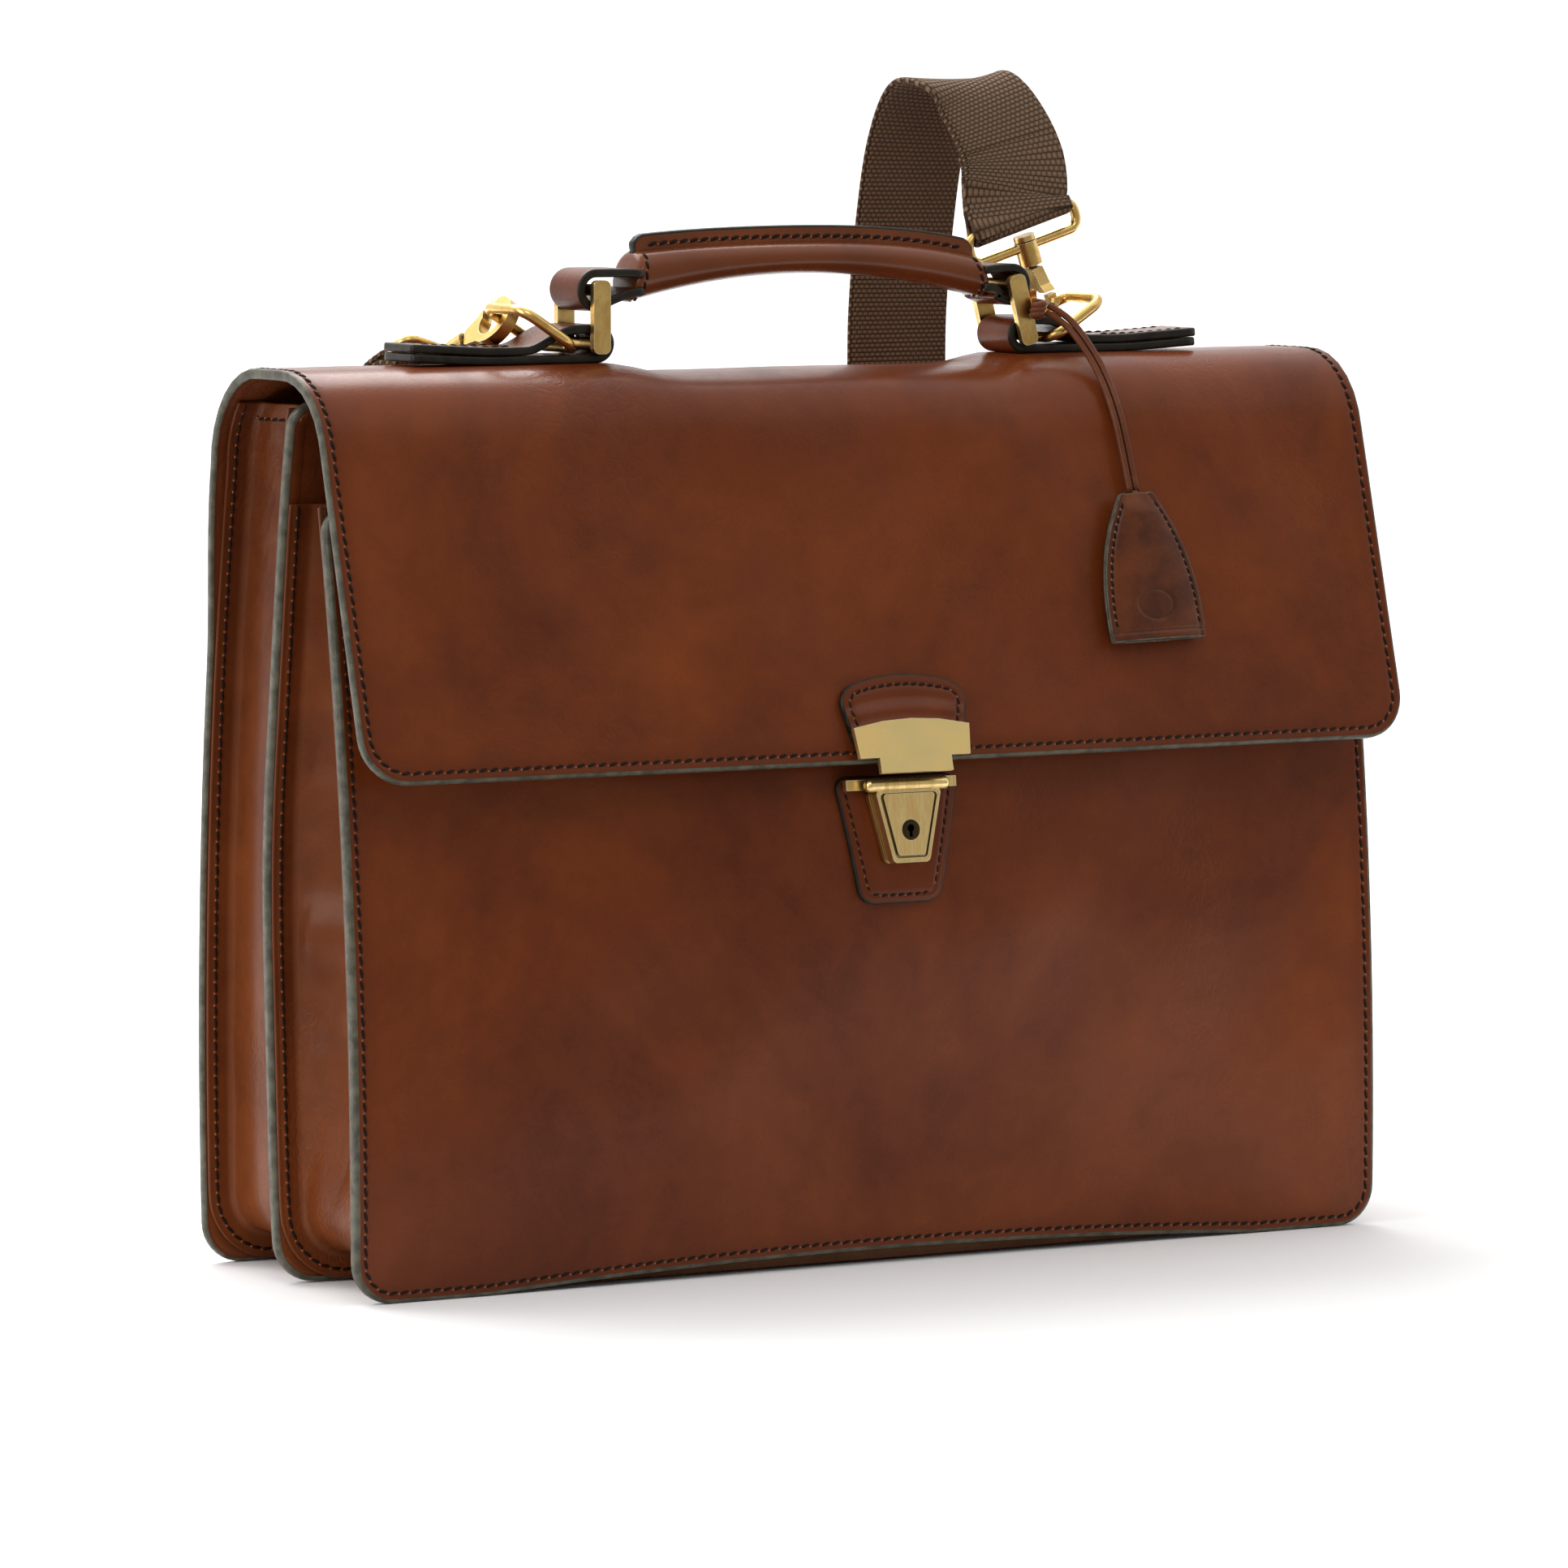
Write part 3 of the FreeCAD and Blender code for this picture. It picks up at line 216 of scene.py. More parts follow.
def rim_order(rows, columns, open_start, open_end):
    """Grid places along the cut edge, in order, and whether they close into a ring."""
    start = [(0, j) for j in range(columns)]
    right = [(i, columns - 1) for i in range(rows)]
    end = [(rows - 1, j) for j in range(columns - 1, -1, -1)]
    left = [(i, 0) for i in range(rows - 1, -1, -1)]
    if open_start:
        return right + end[1:] + left[1:], False
    if open_end:
        return left + start[1:] + right[1:], False
    return start + right[1:] + end[1:] + left[1:-1], True


def leather(name, grid, thickness, materials, rounding=0.9 * MM, edge=None, outward=1,
            open_start=False, open_end=False):
    """A closed sheet from a grid of points on its face. Materials are face, edge and back."""
    rows, columns = grid.shape[:2]
    normal = unit(np.cross(np.gradient(grid, axis=0), np.gradient(grid, axis=1))) * outward
    back = grid - normal * thickness
    order, closed = rim_order(rows, columns, open_start, open_end)
    rim = np.array(order)
    at, out_of = grid[rim[:, 0], rim[:, 1]], normal[rim[:, 0], rim[:, 1]]
    along = np.roll(at, -1, 0) - np.roll(at, 1, 0)
    if not closed:
        along[0], along[-1] = at[1] - at[0], at[-1] - at[-2]
    away = unit(np.cross(along, out_of))
    inner = np.clip(rim, 1, [rows - 2, columns - 2])
    if np.sum(away * (at - grid[inner[:, 0], inner[:, 1]])) < 0:
        away = -away
    loops = [(away * math.sin(a), 1 - math.cos(a)) for a in RIM_ANGLES]
    rings = [at + side * rounding - out_of * rounding * depth for side, depth in loops]
    rings += [at + side * rounding - out_of * (thickness - rounding * depth) for side, depth in loops[::-1]]
    points = np.concatenate([grid.reshape(-1, 3), back.reshape(-1, 3)] + rings)
    count, size = rows * columns, len(order)
    faces, slots = [], []
    for i in range(rows - 1):
        for j in range(columns - 1):
            a = i * columns + j
            quad = (a, a + 1, a + columns + 1, a + columns)
            faces += [quad, tuple(count + q for q in quad[::-1])]
            slots += [0, 2]
    flat = rim[:, 0] * columns + rim[:, 1]
    chain = [flat] + [2 * count + k * size + np.arange(size) for k in range(len(rings))] + [count + flat]
    for first, second in zip(chain, chain[1:]):
        for k in range(size if closed else size - 1):
            n = (k + 1) % size
            faces.append((first[k], first[n], second[n], second[k]))
            slots.append(1)
    obj = as_object(name, points, faces, materials, slots)
    measure = obj.data.attributes.new("from_edge", "FLOAT", "POINT")
    far = np.full((rows, columns), 50 * MM) if edge is None else edge
    values = np.concatenate([far.ravel(), far.ravel(), np.zeros(size * len(rings))])
    measure.data.foreach_set("value", values)
    return obj


print("helpers ready")

# %% [markdown]
# ## Finishes
# The bag's leather is vegetable tanned and burnished: cloudy, darker towards its edges, with fine pores and small
# creases. Several leathers share those effects, so each effect is a node group that gives out a colour or a
# height, and every material keeps its own shader with its own gloss.

# %% Node group helpers
def new_group(name, inputs, outputs):
    group = bpy.data.node_groups.new(name, "ShaderNodeTree")
    for socket, kind, value in inputs:
        made = group.interface.new_socket(socket, in_out="INPUT", socket_type=kind)
        if value is not None:
            made.default_value = value
    for socket, kind in outputs:
        group.interface.new_socket(socket, in_out="OUTPUT", socket_type=kind)
    return group, group.nodes.new("NodeGroupInput").outputs, group.nodes.new("NodeGroupOutput").inputs


def add(tree, kind, links=(), **settings):
    """Adds a node, sets its properties and joins its inputs."""
    node = tree.nodes.new("ShaderNode" + kind)
    for key, value in settings.items():
        setattr(node, key, value)
    for socket, source in dict(links).items():
        if isinstance(source, bpy.types.NodeSocket):
            tree.links.new(source, node.inputs[socket])
        else:
            node.inputs[socket].default_value = source
    return node


def maths(tree, operation, first, second=0.0, third=0.0, clamp=False):
    return add(tree, "Math", {0: first, 1: second, 2: third}, operation=operation, use_clamp=clamp).outputs[0]


def noise(tree, place, scale, detail=3.0, rough=0.55, distortion=0.0):
    links = {"Vector": place, "Scale": scale, "Detail": detail, "Roughness": rough, "Distortion": distortion}
    return add(tree, "TexNoise", links).outputs["Fac"]


def between_values(tree, value, low, high, to_low=0.0, to_high=1.0):
    links = {"Value": value, "From Min": low, "From Max": high, "To Min": to_low, "To Max": to_high}
    return add(tree, "MapRange", links, interpolation_type="SMOOTHSTEP").outputs["Result"]


def mixed(tree, factor, first, second, blend="MIX"):
    node = add(tree, "Mix", data_type="RGBA", blend_type=blend)
    for socket, source in ((0, factor), (6, first), (7, second)):
        if isinstance(source, bpy.types.NodeSocket):
            tree.links.new(source, node.inputs[socket])
        else:
            node.inputs[socket].default_value = source
    return node.outputs[2]


# %% [markdown]
# `cloudy tone` is the dye: broad clouds from dark to light, a finer mottle inside them, and a darker burnish that
# fades in from the cut edge. `leather relief` is the grain: pores everywhere, and creases only in patches, where
# the hide was softer.

# %% Leather node groups
COLOR, VALUE, VECTOR = "NodeSocketColor", "NodeSocketFloat", "NodeSocketVector"


def cloudy_tone():
    inputs = [("Place", VECTOR, None), ("From edge", VALUE, 0.05), ("Light", COLOR, (0.2, 0.06, 0.02, 1)),
              ("Dark", COLOR, (0.08, 0.02, 0.01, 1)), ("Cloud size", VALUE, 9.0), ("Burnish width", VALUE, 0.012)]
    group, given, out = new_group("cloudy tone", inputs, [("Color", COLOR), ("Gloss", VALUE)])
    place = given["Place"]
    cloud = noise(group, place, given["Cloud size"], 4.0, 0.6, 0.6)
    mottle = noise(group, place, 75.0, 5.0, 0.7, 0.4)
    speck = noise(group, place, 900.0, 2.0, 0.6)
    tone = between_values(group, cloud, 0.22, 0.78)
    tone = maths(group, "ADD", tone, maths(group, "MULTIPLY_ADD", mottle, 0.7, -0.35))
    tone = maths(group, "ADD", tone, maths(group, "MULTIPLY_ADD", speck, 0.3, -0.15), clamp=True)
    colour = mixed(group, tone, given["Dark"], given["Light"])
    burnish = between_values(group, given["From edge"], 0.0, given["Burnish width"], 0.62, 0.0)
    burnish = maths(group, "MULTIPLY", burnish, between_values(group, mottle, 0.2, 0.7, 0.6, 1.0))
    group.links.new(mixed(group, burnish, colour, given["Dark"], "MIX"), out["Color"])
    group.links.new(tone, out["Gloss"])
    return group


def leather_relief():
    inputs = [("Place", VECTOR, None), ("Pores", VALUE, 0.3), ("Creases", VALUE, 1.0)]
    group, given, out = new_group("leather relief", inputs, [("Height", VALUE)])
    place = given["Place"]
    pores = add(group, "TexVoronoi", {"Vector": place, "Scale": 1500.0}, feature="F1").outputs["Distance"]
    push = noise(group, place, 60.0, 3.0, 0.6)
    bent = add(group, "VectorMath", {0: place, 3: 1.0}, operation="SCALE").outputs[0]
    bent = add(group, "VectorMath", {0: bent, 1: add(group, "CombineXYZ", {
        "X": maths(group, "MULTIPLY", push, 0.02), "Y": maths(group, "MULTIPLY", push, -0.015),
        "Z": maths(group, "MULTIPLY", push, 0.02)}).outputs[0]}, operation="ADD").outputs[0]
    stretched = add(group, "Mapping", {"Vector": bent, "Scale": (1.0, 1.0, 0.55)}).outputs[0]
    cracks = add(group, "TexVoronoi", {"Vector": stretched, "Scale": 260.0}, feature="DISTANCE_TO_EDGE")
    line = between_values(group, cracks.outputs["Distance"], 0.0, 0.18)
    patch = between_values(group, noise(group, place, 14.0, 2.0), 0.46, 0.68)
    creases = maths(group, "MULTIPLY", maths(group, "MULTIPLY", line, patch), given["Creases"])
    fine = noise(group, stretched, 420.0, 4.0, 0.65)
    total = maths(group, "MULTIPLY_ADD", pores, given["Pores"], creases)
    group.links.new(maths(group, "MULTIPLY_ADD", fine, 0.5, total), out["Height"])
    return group


TONE, RELIEF = cloudy_tone(), leather_relief()


# %% [markdown]
# One function makes every leather from those groups. Colour, roughness and relief vary over the surface; the clear
# finish on top is one even coat, so its weight is set on the shader itself.

# %% Leather materials
def shader(name, **sockets):
    material = bpy.data.materials.new(name)
    material.use_nodes = True
    surface = material.node_tree.nodes["Principled BSDF"]
    for socket, value in sockets.items():
        surface.inputs[socket.replace("_", " ")].default_value = value
    return material, material.node_tree, surface


def raised(tree, surface, height, strength, distance):
    bump = add(tree, "Bump", {"Height": height, "Strength": strength, "Distance": distance})
    tree.links.new(bump.outputs["Normal"], surface.inputs["Normal"])


def leather_finish(name, light, dark, rough=(0.3, 0.46), coat=0.07, cloud=9.0, burnish=0.012, creases=1.0,
                   pores=0.3, relief=0.00012):
    material, tree, surface = shader(name, Coat_Weight=coat, Coat_Roughness=0.2, Specular_IOR_Level=0.16,
                                     Specular_Tint=(1.0, 0.8, 0.64, 1.0))
    place = add(tree, "Attribute", attribute_name="place").outputs["Vector"]
    from_edge = add(tree, "Attribute", attribute_name="from_edge").outputs["Fac"]
    tone = add(tree, "Group", node_tree=TONE)
    for socket, value in (("Light", (*light, 1)), ("Dark", (*dark, 1)), ("Cloud size", cloud),
                          ("Burnish width", burnish)):
        tone.inputs[socket].default_value = value
    grain = add(tree, "Group", node_tree=RELIEF)
    grain.inputs["Pores"].default_value, grain.inputs["Creases"].default_value = pores, creases
    tree.links.new(place, tone.inputs["Place"])
    tree.links.new(from_edge, tone.inputs["From edge"])
    tree.links.new(place, grain.inputs["Place"])
    tree.links.new(tone.outputs["Color"], surface.inputs["Base Color"])
    gloss = between_values(tree, tone.outputs["Gloss"], 0.0, 1.0, rough[1], rough[0])
    tree.links.new(gloss, surface.inputs["Roughness"])
    raised(tree, surface, grain.outputs["Height"], 0.55, relief)
    return material


COGNAC = leather_finish("cognac leather", (0.19, 0.0415, 0.0095), (0.086, 0.0165, 0.0043), (0.24, 0.42), 0.15)
COGNAC_SIDE = leather_finish("soft gusset leather", (0.19, 0.05, 0.014), (0.09, 0.021, 0.006), (0.26, 0.4), 0.12,
                             12.0, 0.006, 1.4, 0.35)
BELL_LEATHER = leather_finish("key bell leather", (0.155, 0.04, 0.012), (0.05, 0.012, 0.005), (0.32, 0.5), 0.2,
                              40.0, 0.004)
LACE_LEATHER = leather_finish("lace leather", (0.24, 0.075, 0.03), (0.09, 0.025, 0.01), (0.3, 0.45), 0.1, 60.0,
                              0.0005, 0.6)
# Painted highlight: a lighter copy of the leather for the needle bumps beside each stitch, standing in for their
# glints.
PAINTED_NEEDLE_HIGHLIGHT = leather_finish("painted highlight on needle holes", (0.36, 0.13, 0.055), (0.22, 0.07, 0.028), (0.3, 0.4), 0.2, 60.0)
GRIP_LEATHER = leather_finish("handle leather", (0.24, 0.062, 0.018), (0.12, 0.03, 0.009), (0.2, 0.34), 0.4, 20.0,
                              0.003, 0.5)
FLESH = leather_finish("flesh side", (0.16, 0.072, 0.035), (0.085, 0.036, 0.018), (0.75, 0.9), 0.0, 20.0, 0.006,
                       0.2, 0.8, 0.0003)
SUEDE = leather_finish("suede lining", (0.24, 0.135, 0.075), (0.15, 0.08, 0.042), (0.85, 0.97), 0.0, 25.0, 0.004,
                       0.1, 1.0, 0.0003)


# %% [markdown]
# The cut edges are painted with a grey-green edge dye that dries glossy and slightly lumpy. The same paint on the
# tabs and the handle is almost black. Thread is waxed and dark, with a twist too fine to model.

# %% Edge paint, thread and lace
def paint_finish(name, light, dark, rough):
    material, tree, surface = shader(name, Coat_Weight=0.08, Coat_Roughness=0.2, Specular_IOR_Level=0.25)
    place = add(tree, "Attribute", attribute_name="place").outputs["Vector"]
    lumps = noise(tree, place, 220.0, 3.0)
    tree.links.new(mixed(tree, between_values(tree, lumps, 0.3, 0.7), (*dark, 1), (*light, 1)),
                   surface.inputs["Base Color"])
    tree.links.new(between_values(tree, lumps, 0.2, 0.8, rough + 0.12, rough), surface.inputs["Roughness"])
    raised(tree, surface, lumps, 0.4, 0.0002)
    return material


def thread_finish():
    material, tree, surface = shader("waxed thread", Specular_IOR_Level=0.12)
    place = add(tree, "Attribute", attribute_name="place").outputs["Vector"]
    twist = add(tree, "TexWave", {"Vector": place, "Scale": 900.0, "Distortion": 3.0}).outputs["Fac"]
    tree.links.new(mixed(tree, twist, (0.006, 0.003, 0.002, 1), (0.02, 0.009, 0.005, 1)),
                   surface.inputs["Base Color"])
    tree.links.new(between_values(tree, twist, 0.0, 1.0, 0.6, 0.45), surface.inputs["Roughness"])
    return material


EDGE_PAINT = paint_finish("grey-green edge paint", (0.105, 0.098, 0.068), (0.045, 0.041, 0.028), 0.36)
BLACK_EDGE = paint_finish("black edge paint", (0.02, 0.016, 0.01), (0.008, 0.0065, 0.004), 0.34)
THREAD = thread_finish()


# %% [markdown]
# Metal parts keep their imported meshes, since their shapes are exact. The brass is cast and polished, then
# darkened in patches by handling, and its hollows are darkened as painted shade. The pattern reads object
# coordinates, which stay with each part as it moves.

# %% Metal materials
def worn_and_shaded_metal():
    """Polished on its rims, where hands rub it, and darkened in its hollows and beside other parts as painted shade.
    """
    inputs = [("Patina", VALUE, 0.5), ("Bright", COLOR, (1, 0.8, 0.4, 1)), ("Dull", COLOR, (0.6, 0.4, 0.15, 1)),
              ("Painted shade", COLOR, (0.12, 0.07, 0.02, 1)), ("Roughness", VALUE, 0.25), ("Rim", VALUE, 1.0)]
    group, given, out = new_group("worn metal with painted shade", inputs, [("Color", COLOR), ("Roughness", VALUE)])
    tone = mixed(group, between_values(group, given["Patina"], 0.35, 0.68), given["Bright"], given["Dull"])
    normal = add(group, "NewGeometry").outputs["Normal"]
    rounded = add(group, "Bevel", {"Radius": 0.0006}, samples=4).outputs["Normal"]
    same = add(group, "VectorMath", {0: normal, 1: rounded}, operation="DOT_PRODUCT").outputs["Value"]
    rim = maths(group, "MULTIPLY", between_values(group, same, 0.9, 0.99, 1.0, 0.0), given["Rim"])
    tone = mixed(group, rim, tone, (1.0, 0.88, 0.56, 1))
    # Painted shade: ambient occlusion darkens the colour in hollows and where other parts come close.
    open_air = add(group, "AmbientOcclusion", {"Distance": 0.0035}, samples=6).outputs["AO"]
    painted_shade = between_values(group, open_air, 0.3, 0.8, 1.0, 0.0)
    group.links.new(mixed(group, painted_shade, tone, given["Painted shade"]), out["Color"])
    wear = maths(group, "ADD", between_values(group, given["Patina"], 0.3, 0.75, 0.0, 0.18), given["Roughness"])
    group.links.new(maths(group, "MULTIPLY_ADD", rim, -0.12, wear), out["Roughness"])
    return group


WORN_AND_SHADED_METAL = worn_and_shaded_metal()


def metal_finish(name, bright, dull, rough, scale=110.0, stretch=1.0, rim=1.0):
    material, tree, surface = shader(name, Metallic=1.0)
    place = add(tree, "TexCoord").outputs["Object"]
    place = add(tree, "Mapping", {"Vector": place, "Scale": (1.0, 1.0, stretch)}).outputs[0]
    # The group's colour holds handling wear and, in the hollows, painted shade.
    wear = add(tree, "Group", {"Patina": noise(tree, place, scale, 4.0, 0.65, 0.5)}, node_tree=WORN_AND_SHADED_METAL)
    for socket, value in (("Bright", (*bright, 1)), ("Dull", (*dull, 1)), ("Painted shade", (*(c * 0.2 for c in dull), 1)),
                          ("Roughness", rough), ("Rim", rim)):
        wear.inputs[socket].default_value = value
    tree.links.new(wear.outputs["Color"], surface.inputs["Base Color"])
    tree.links.new(wear.outputs["Roughness"], surface.inputs["Roughness"])
    raised(tree, surface, noise(tree, place, 500.0, 3.0), 0.12, 0.00006)
    return material


BRASS = metal_finish("antique brass", (0.88, 0.61, 0.22), (0.62, 0.39, 0.12), 0.22)
PLATE_BRASS = metal_finish("satin plate brass", (1.0, 0.78, 0.34), (0.9, 0.66, 0.26), 0.3, 70.0)
BRUSHED_BRASS = metal_finish("brushed brass", (1.0, 0.78, 0.35), (0.74, 0.5, 0.18), 0.26, 360.0, 0.08)
# Painted shade: the key barrel is coloured near black so that the keyhole reads as a dark hollow.
KEYHOLE_PAINTED_SHADE = metal_finish("barrel painted as keyhole shade", (0.06, 0.042, 0.02), (0.02, 0.013, 0.006), 0.4, rim=0.0)
STEEL = metal_finish("plated steel", (0.62, 0.62, 0.6), (0.4, 0.4, 0.39), 0.28, rim=0.0)


# %% [markdown]
# The shoulder strap is coarse cotton webbing. Its weave runs with the strap, so the pattern reads the strap's own
# map: across in metres on U and along in metres on V. Each rib is a small pillow, offset by half a rib from the
# row before it. The colour is darkened towards the gaps between ribs as painted shade.

# %% Webbing material
def basket_weave():
    inputs = [("Map", VECTOR, None), ("Rib width", VALUE, 0.0021), ("Rib length", VALUE, 0.0016)]
    group, given, out = new_group("basket weave", inputs, [("Height", VALUE), ("Shade", VALUE)])
    split = add(group, "SeparateXYZ", {0: given["Map"]})
    row = maths(group, "DIVIDE", split.outputs["Y"], given["Rib length"])
    shift = maths(group, "MULTIPLY", maths(group, "FLOORED_MODULO", maths(group, "FLOOR", row), 2.0), 0.5)
    column = maths(group, "ADD", maths(group, "DIVIDE", split.outputs["X"], given["Rib width"]), shift)
    across = maths(group, "SINE", maths(group, "MULTIPLY", maths(group, "FRACT", column), math.pi))
    along = maths(group, "SINE", maths(group, "MULTIPLY", maths(group, "FRACT", row), math.pi))
    pillow = maths(group, "POWER", maths(group, "MULTIPLY", across, along), 0.45)
    fuzz = noise(group, given["Map"], 2500.0, 3.0, 0.7)
    group.links.new(maths(group, "MULTIPLY_ADD", fuzz, 0.25, pillow), out["Height"])
    # Painted shade: this output is lowest in the gaps between ribs, where the colour is darkened.
    group.links.new(maths(group, "MULTIPLY", pillow, maths(group, "MULTIPLY_ADD", fuzz, 0.5, 0.7)), out["Shade"])
    return group


def webbing_finish():
    material, tree, surface = shader("brown webbing", Sheen_Weight=0.08, Sheen_Roughness=0.4,
                                     Specular_IOR_Level=0.15)
    weave = add(tree, "Group", {"Map": add(tree, "UVMap", uv_map="strap").outputs[0]}, node_tree=basket_weave())
    # Painted shade: the colour falls almost to black in the gaps between the ribs.
    colour = mixed(tree, weave.outputs["Shade"], (0.022, 0.011, 0.006, 1), (0.23, 0.138, 0.08, 1))
    tree.links.new(colour, surface.inputs["Base Color"])
    tree.links.new(between_values(tree, weave.outputs["Shade"], 0.0, 1.0, 0.95, 0.7), surface.inputs["Roughness"])
    raised(tree, surface, weave.outputs["Height"], 1.0, 0.0008)
    return material


WEBBING = webbing_finish()
print("materials", len(bpy.data.materials))

# %% [markdown]
# ## Cords
# The key bell hangs on a lace of two round strands. Each strand's line is a smooth NURBS curve through a few
# places, one beside the other, over the flap's front bend. A mesh tube follows that curve.

# %% Lace
LACE_RADIUS, LACE_SPREAD = 1.15 * MM, 1.3 * MM
LACE_ROUTE = [
    (88.5, -19.0, 321.5), (93.5, -21.5, 319.0), (97.5, -27.5, 311.5), (100.0, -36.5, 300.5),
    (101.2, -44.5, 287.0), (102.2, -49.0, 272.5), (103.0, -52.6, 259.5),
]
LACE_SIDEWAYS = [(0.35, 0, 0.94), (0.6, 0, 0.8), (0.9, 0, 0.44)] + [(0.98, 0, 0.18)] * (len(LACE_ROUTE) - 3)
MID_TOP_Y = -2 * MM
FLAP_FOLD = ("bag", "flap_top", (0, 0.042, 0.272), (0, 0.008, 0.306))
FLAP_LIFT = ("flap_top", "flap_leaf", (0, -0.012, 0.306), (0, -0.0429, 0.2825))


def nurbs_line(points):
    """Points along a smooth line that is drawn towards the given places."""
    curve = bpy.data.curves.new("line", "CURVE")
    curve.dimensions, curve.resolution_u = "3D", 12
    spline = curve.splines.new("NURBS")
    spline.points.add(len(points) - 1)
    for slot, place in zip(spline.points, points):
        slot.co = (*place, 1)
    spline.order_u, spline.use_endpoint_u = 3, True
    holder = bpy.data.objects.new("line", curve)
    mesh = bpy.data.meshes.new_from_object(holder)
    line = np.array([v.co for v in mesh.vertices], float)
    bpy.data.objects.remove(holder)
    bpy.data.curves.remove(curve)
    return line


def frames_along(line):
    """Unit vectors along, across and up a line, turning as little as possible."""
    along = unit(np.gradient(line, axis=0))
    side = np.zeros_like(along)
    guess = np.cross(along[0], (0, 0, 1.0))
    side[0] = unit(guess if np.linalg.norm(guess) > 0.1 else np.cross(along[0], (1.0, 0, 0)))
    for k in range(1, len(line)):
        side[k] = unit(side[k - 1] - along[k] * np.dot(side[k - 1], along[k]))
    return along, side, np.cross(along, side)


def tube(name, line, radius, materials, around=14):
    """A round closed tube along a line, its radius one number or one for each point."""
    along, side, up = frames_along(line)
    turn = np.linspace(0, 2 * math.pi, around, endpoint=False)
    radii = np.broadcast_to(radius, len(line))[:, None, None]
    wall = line[:, None] + radii * (np.cos(turn)[None, :, None] * side[:, None]
                                    + np.sin(turn)[None, :, None] * up[:, None])
    points = np.concatenate([wall.reshape(-1, 3), line[:1], line[-1:]])
    faces = []
    for i in range(len(line) - 1):
        for j in range(around):
            n = (j + 1) % around
            faces.append((i * around + j, i * around + n, (i + 1) * around + n, (i + 1) * around + j))
    first, last = len(wall) * around, len(wall) * around + 1
    for j in range(around):
        n = (j + 1) % around
        faces += [(first, n, j), (last, (len(line) - 1) * around + j, (len(line) - 1) * around + n)]
    return as_object(name, points, faces, materials)


def bend(piece):
    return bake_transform(piece)


LACE_LINES = []
for side, name in ((-1, "left"), (1, "right")):
    route = [np.array(p) * MM + np.array(way) * side * LACE_SPREAD for p, way in zip(LACE_ROUTE, LACE_SIDEWAYS)]
    LACE_LINES.append((name, nurbs_line(route)))
    strand = tube("lace_strand_" + name + "_leather", LACE_LINES[-1][1], LACE_RADIUS, [LACE_LEATHER])
    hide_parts("lace_strand_" + name)
    bend(strand)

# %% [markdown]
# ## The long hide
# One hide is back panel, top and flap. Seen from the side it is a bowed back, a round rear bend, a short flat top,
# a front bend and a straight leaf that leans forward. That side line is laid out once, measured along its length,
# and every stitch and edge on the hide is placed by that measure.

# %% Side line of the hide
TOP_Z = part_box("flap_top")[1].z
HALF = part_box("front_panel")[1].x
FLAP_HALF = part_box("flap_top")[1].x
LEAF_FOOT_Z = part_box("flap_leaf")[0].z
BEND_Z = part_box("back_panel")[1].z
HIDE_T, PANEL_T = 3.6 * MM, 5 * MM
REAR_BEND_R, FRONT_BEND_R = TOP_Z - BEND_Z, 32 * MM
FLAT_REAR_Y, FLAT_FRONT_Y = 8 * MM, -12 * MM
LEAF_TILT = math.radians(15.4)
BACK_FOOT_Y, PANEL_CORNER, FLAP_CORNER = 58 * MM, 14 * MM, 16 * MM


def bow(foot_y, top_y, top_z, stand):
    """Side view of a bowed panel: y at a height, or moved towards +Y by an offset."""
    chord = np.array([top_y - foot_y, top_z])
    half = np.linalg.norm(chord) / 2
    radius = (half**2 + stand**2) / (2 * abs(stand))
    side = 1 if stand > 0 else -1
    out = np.array([chord[1], -chord[0]]) / (2 * half) * side
    centre = np.array([foot_y, 0]) + chord / 2 + out * (abs(stand) - radius)

    def y(z, offset=0.0):
        reach = radius + side * offset
        return centre[0] + side * np.sqrt(reach**2 - (np.asarray(z) - centre[1]) ** 2)
    return y


back_y = bow(BACK_FOOT_Y, FLAT_REAR_Y + REAR_BEND_R, BEND_Z, 8 * MM)
rear = np.linspace(0, math.pi / 2, 60)[1:]
front = np.linspace(0, math.pi / 2 - LEAF_TILT, 60)[1:]
heights = np.linspace(0, BEND_Z, 200)
leaf_top = np.array([FLAT_FRONT_Y - FRONT_BEND_R * math.cos(LEAF_TILT),
                     TOP_Z - FRONT_BEND_R + FRONT_BEND_R * math.sin(LEAF_TILT)])
LEAF_LENGTH = (leaf_top[1] - LEAF_FOOT_Z) / math.cos(LEAF_TILT)
leaf_down = np.array([-math.sin(LEAF_TILT), -math.cos(LEAF_TILT)])
SIDE_LINE = np.concatenate([
    np.stack([back_y(heights), heights], 1),
    np.stack([FLAT_REAR_Y + REAR_BEND_R * np.cos(rear), BEND_Z + REAR_BEND_R * np.sin(rear)], 1),
    np.stack([np.linspace(FLAT_REAR_Y, FLAT_FRONT_Y, 12)[1:], np.full(11, TOP_Z)], 1),
    np.stack([FLAT_FRONT_Y - FRONT_BEND_R * np.sin(front), TOP_Z - FRONT_BEND_R * (1 - np.cos(front))], 1),
    leaf_top + leaf_down * np.linspace(0, LEAF_LENGTH, 80)[1:, None],
])
RUN = np.concatenate([[0], np.cumsum(np.linalg.norm(np.diff(SIDE_LINE, axis=0), axis=1))])
HIDE_LENGTH = RUN[-1]
BACK_RUN = RUN[len(heights) - 1]
FLAT_RUN = BACK_RUN + REAR_BEND_R * math.pi / 2
MID_RUN = FLAT_RUN + FLAT_REAR_Y - MID_TOP_Y
LEAF_RUN = HIDE_LENGTH - LEAF_LENGTH
print("hide length", round(HIDE_LENGTH, 4), "of which leaf", round(LEAF_LENGTH, 4))


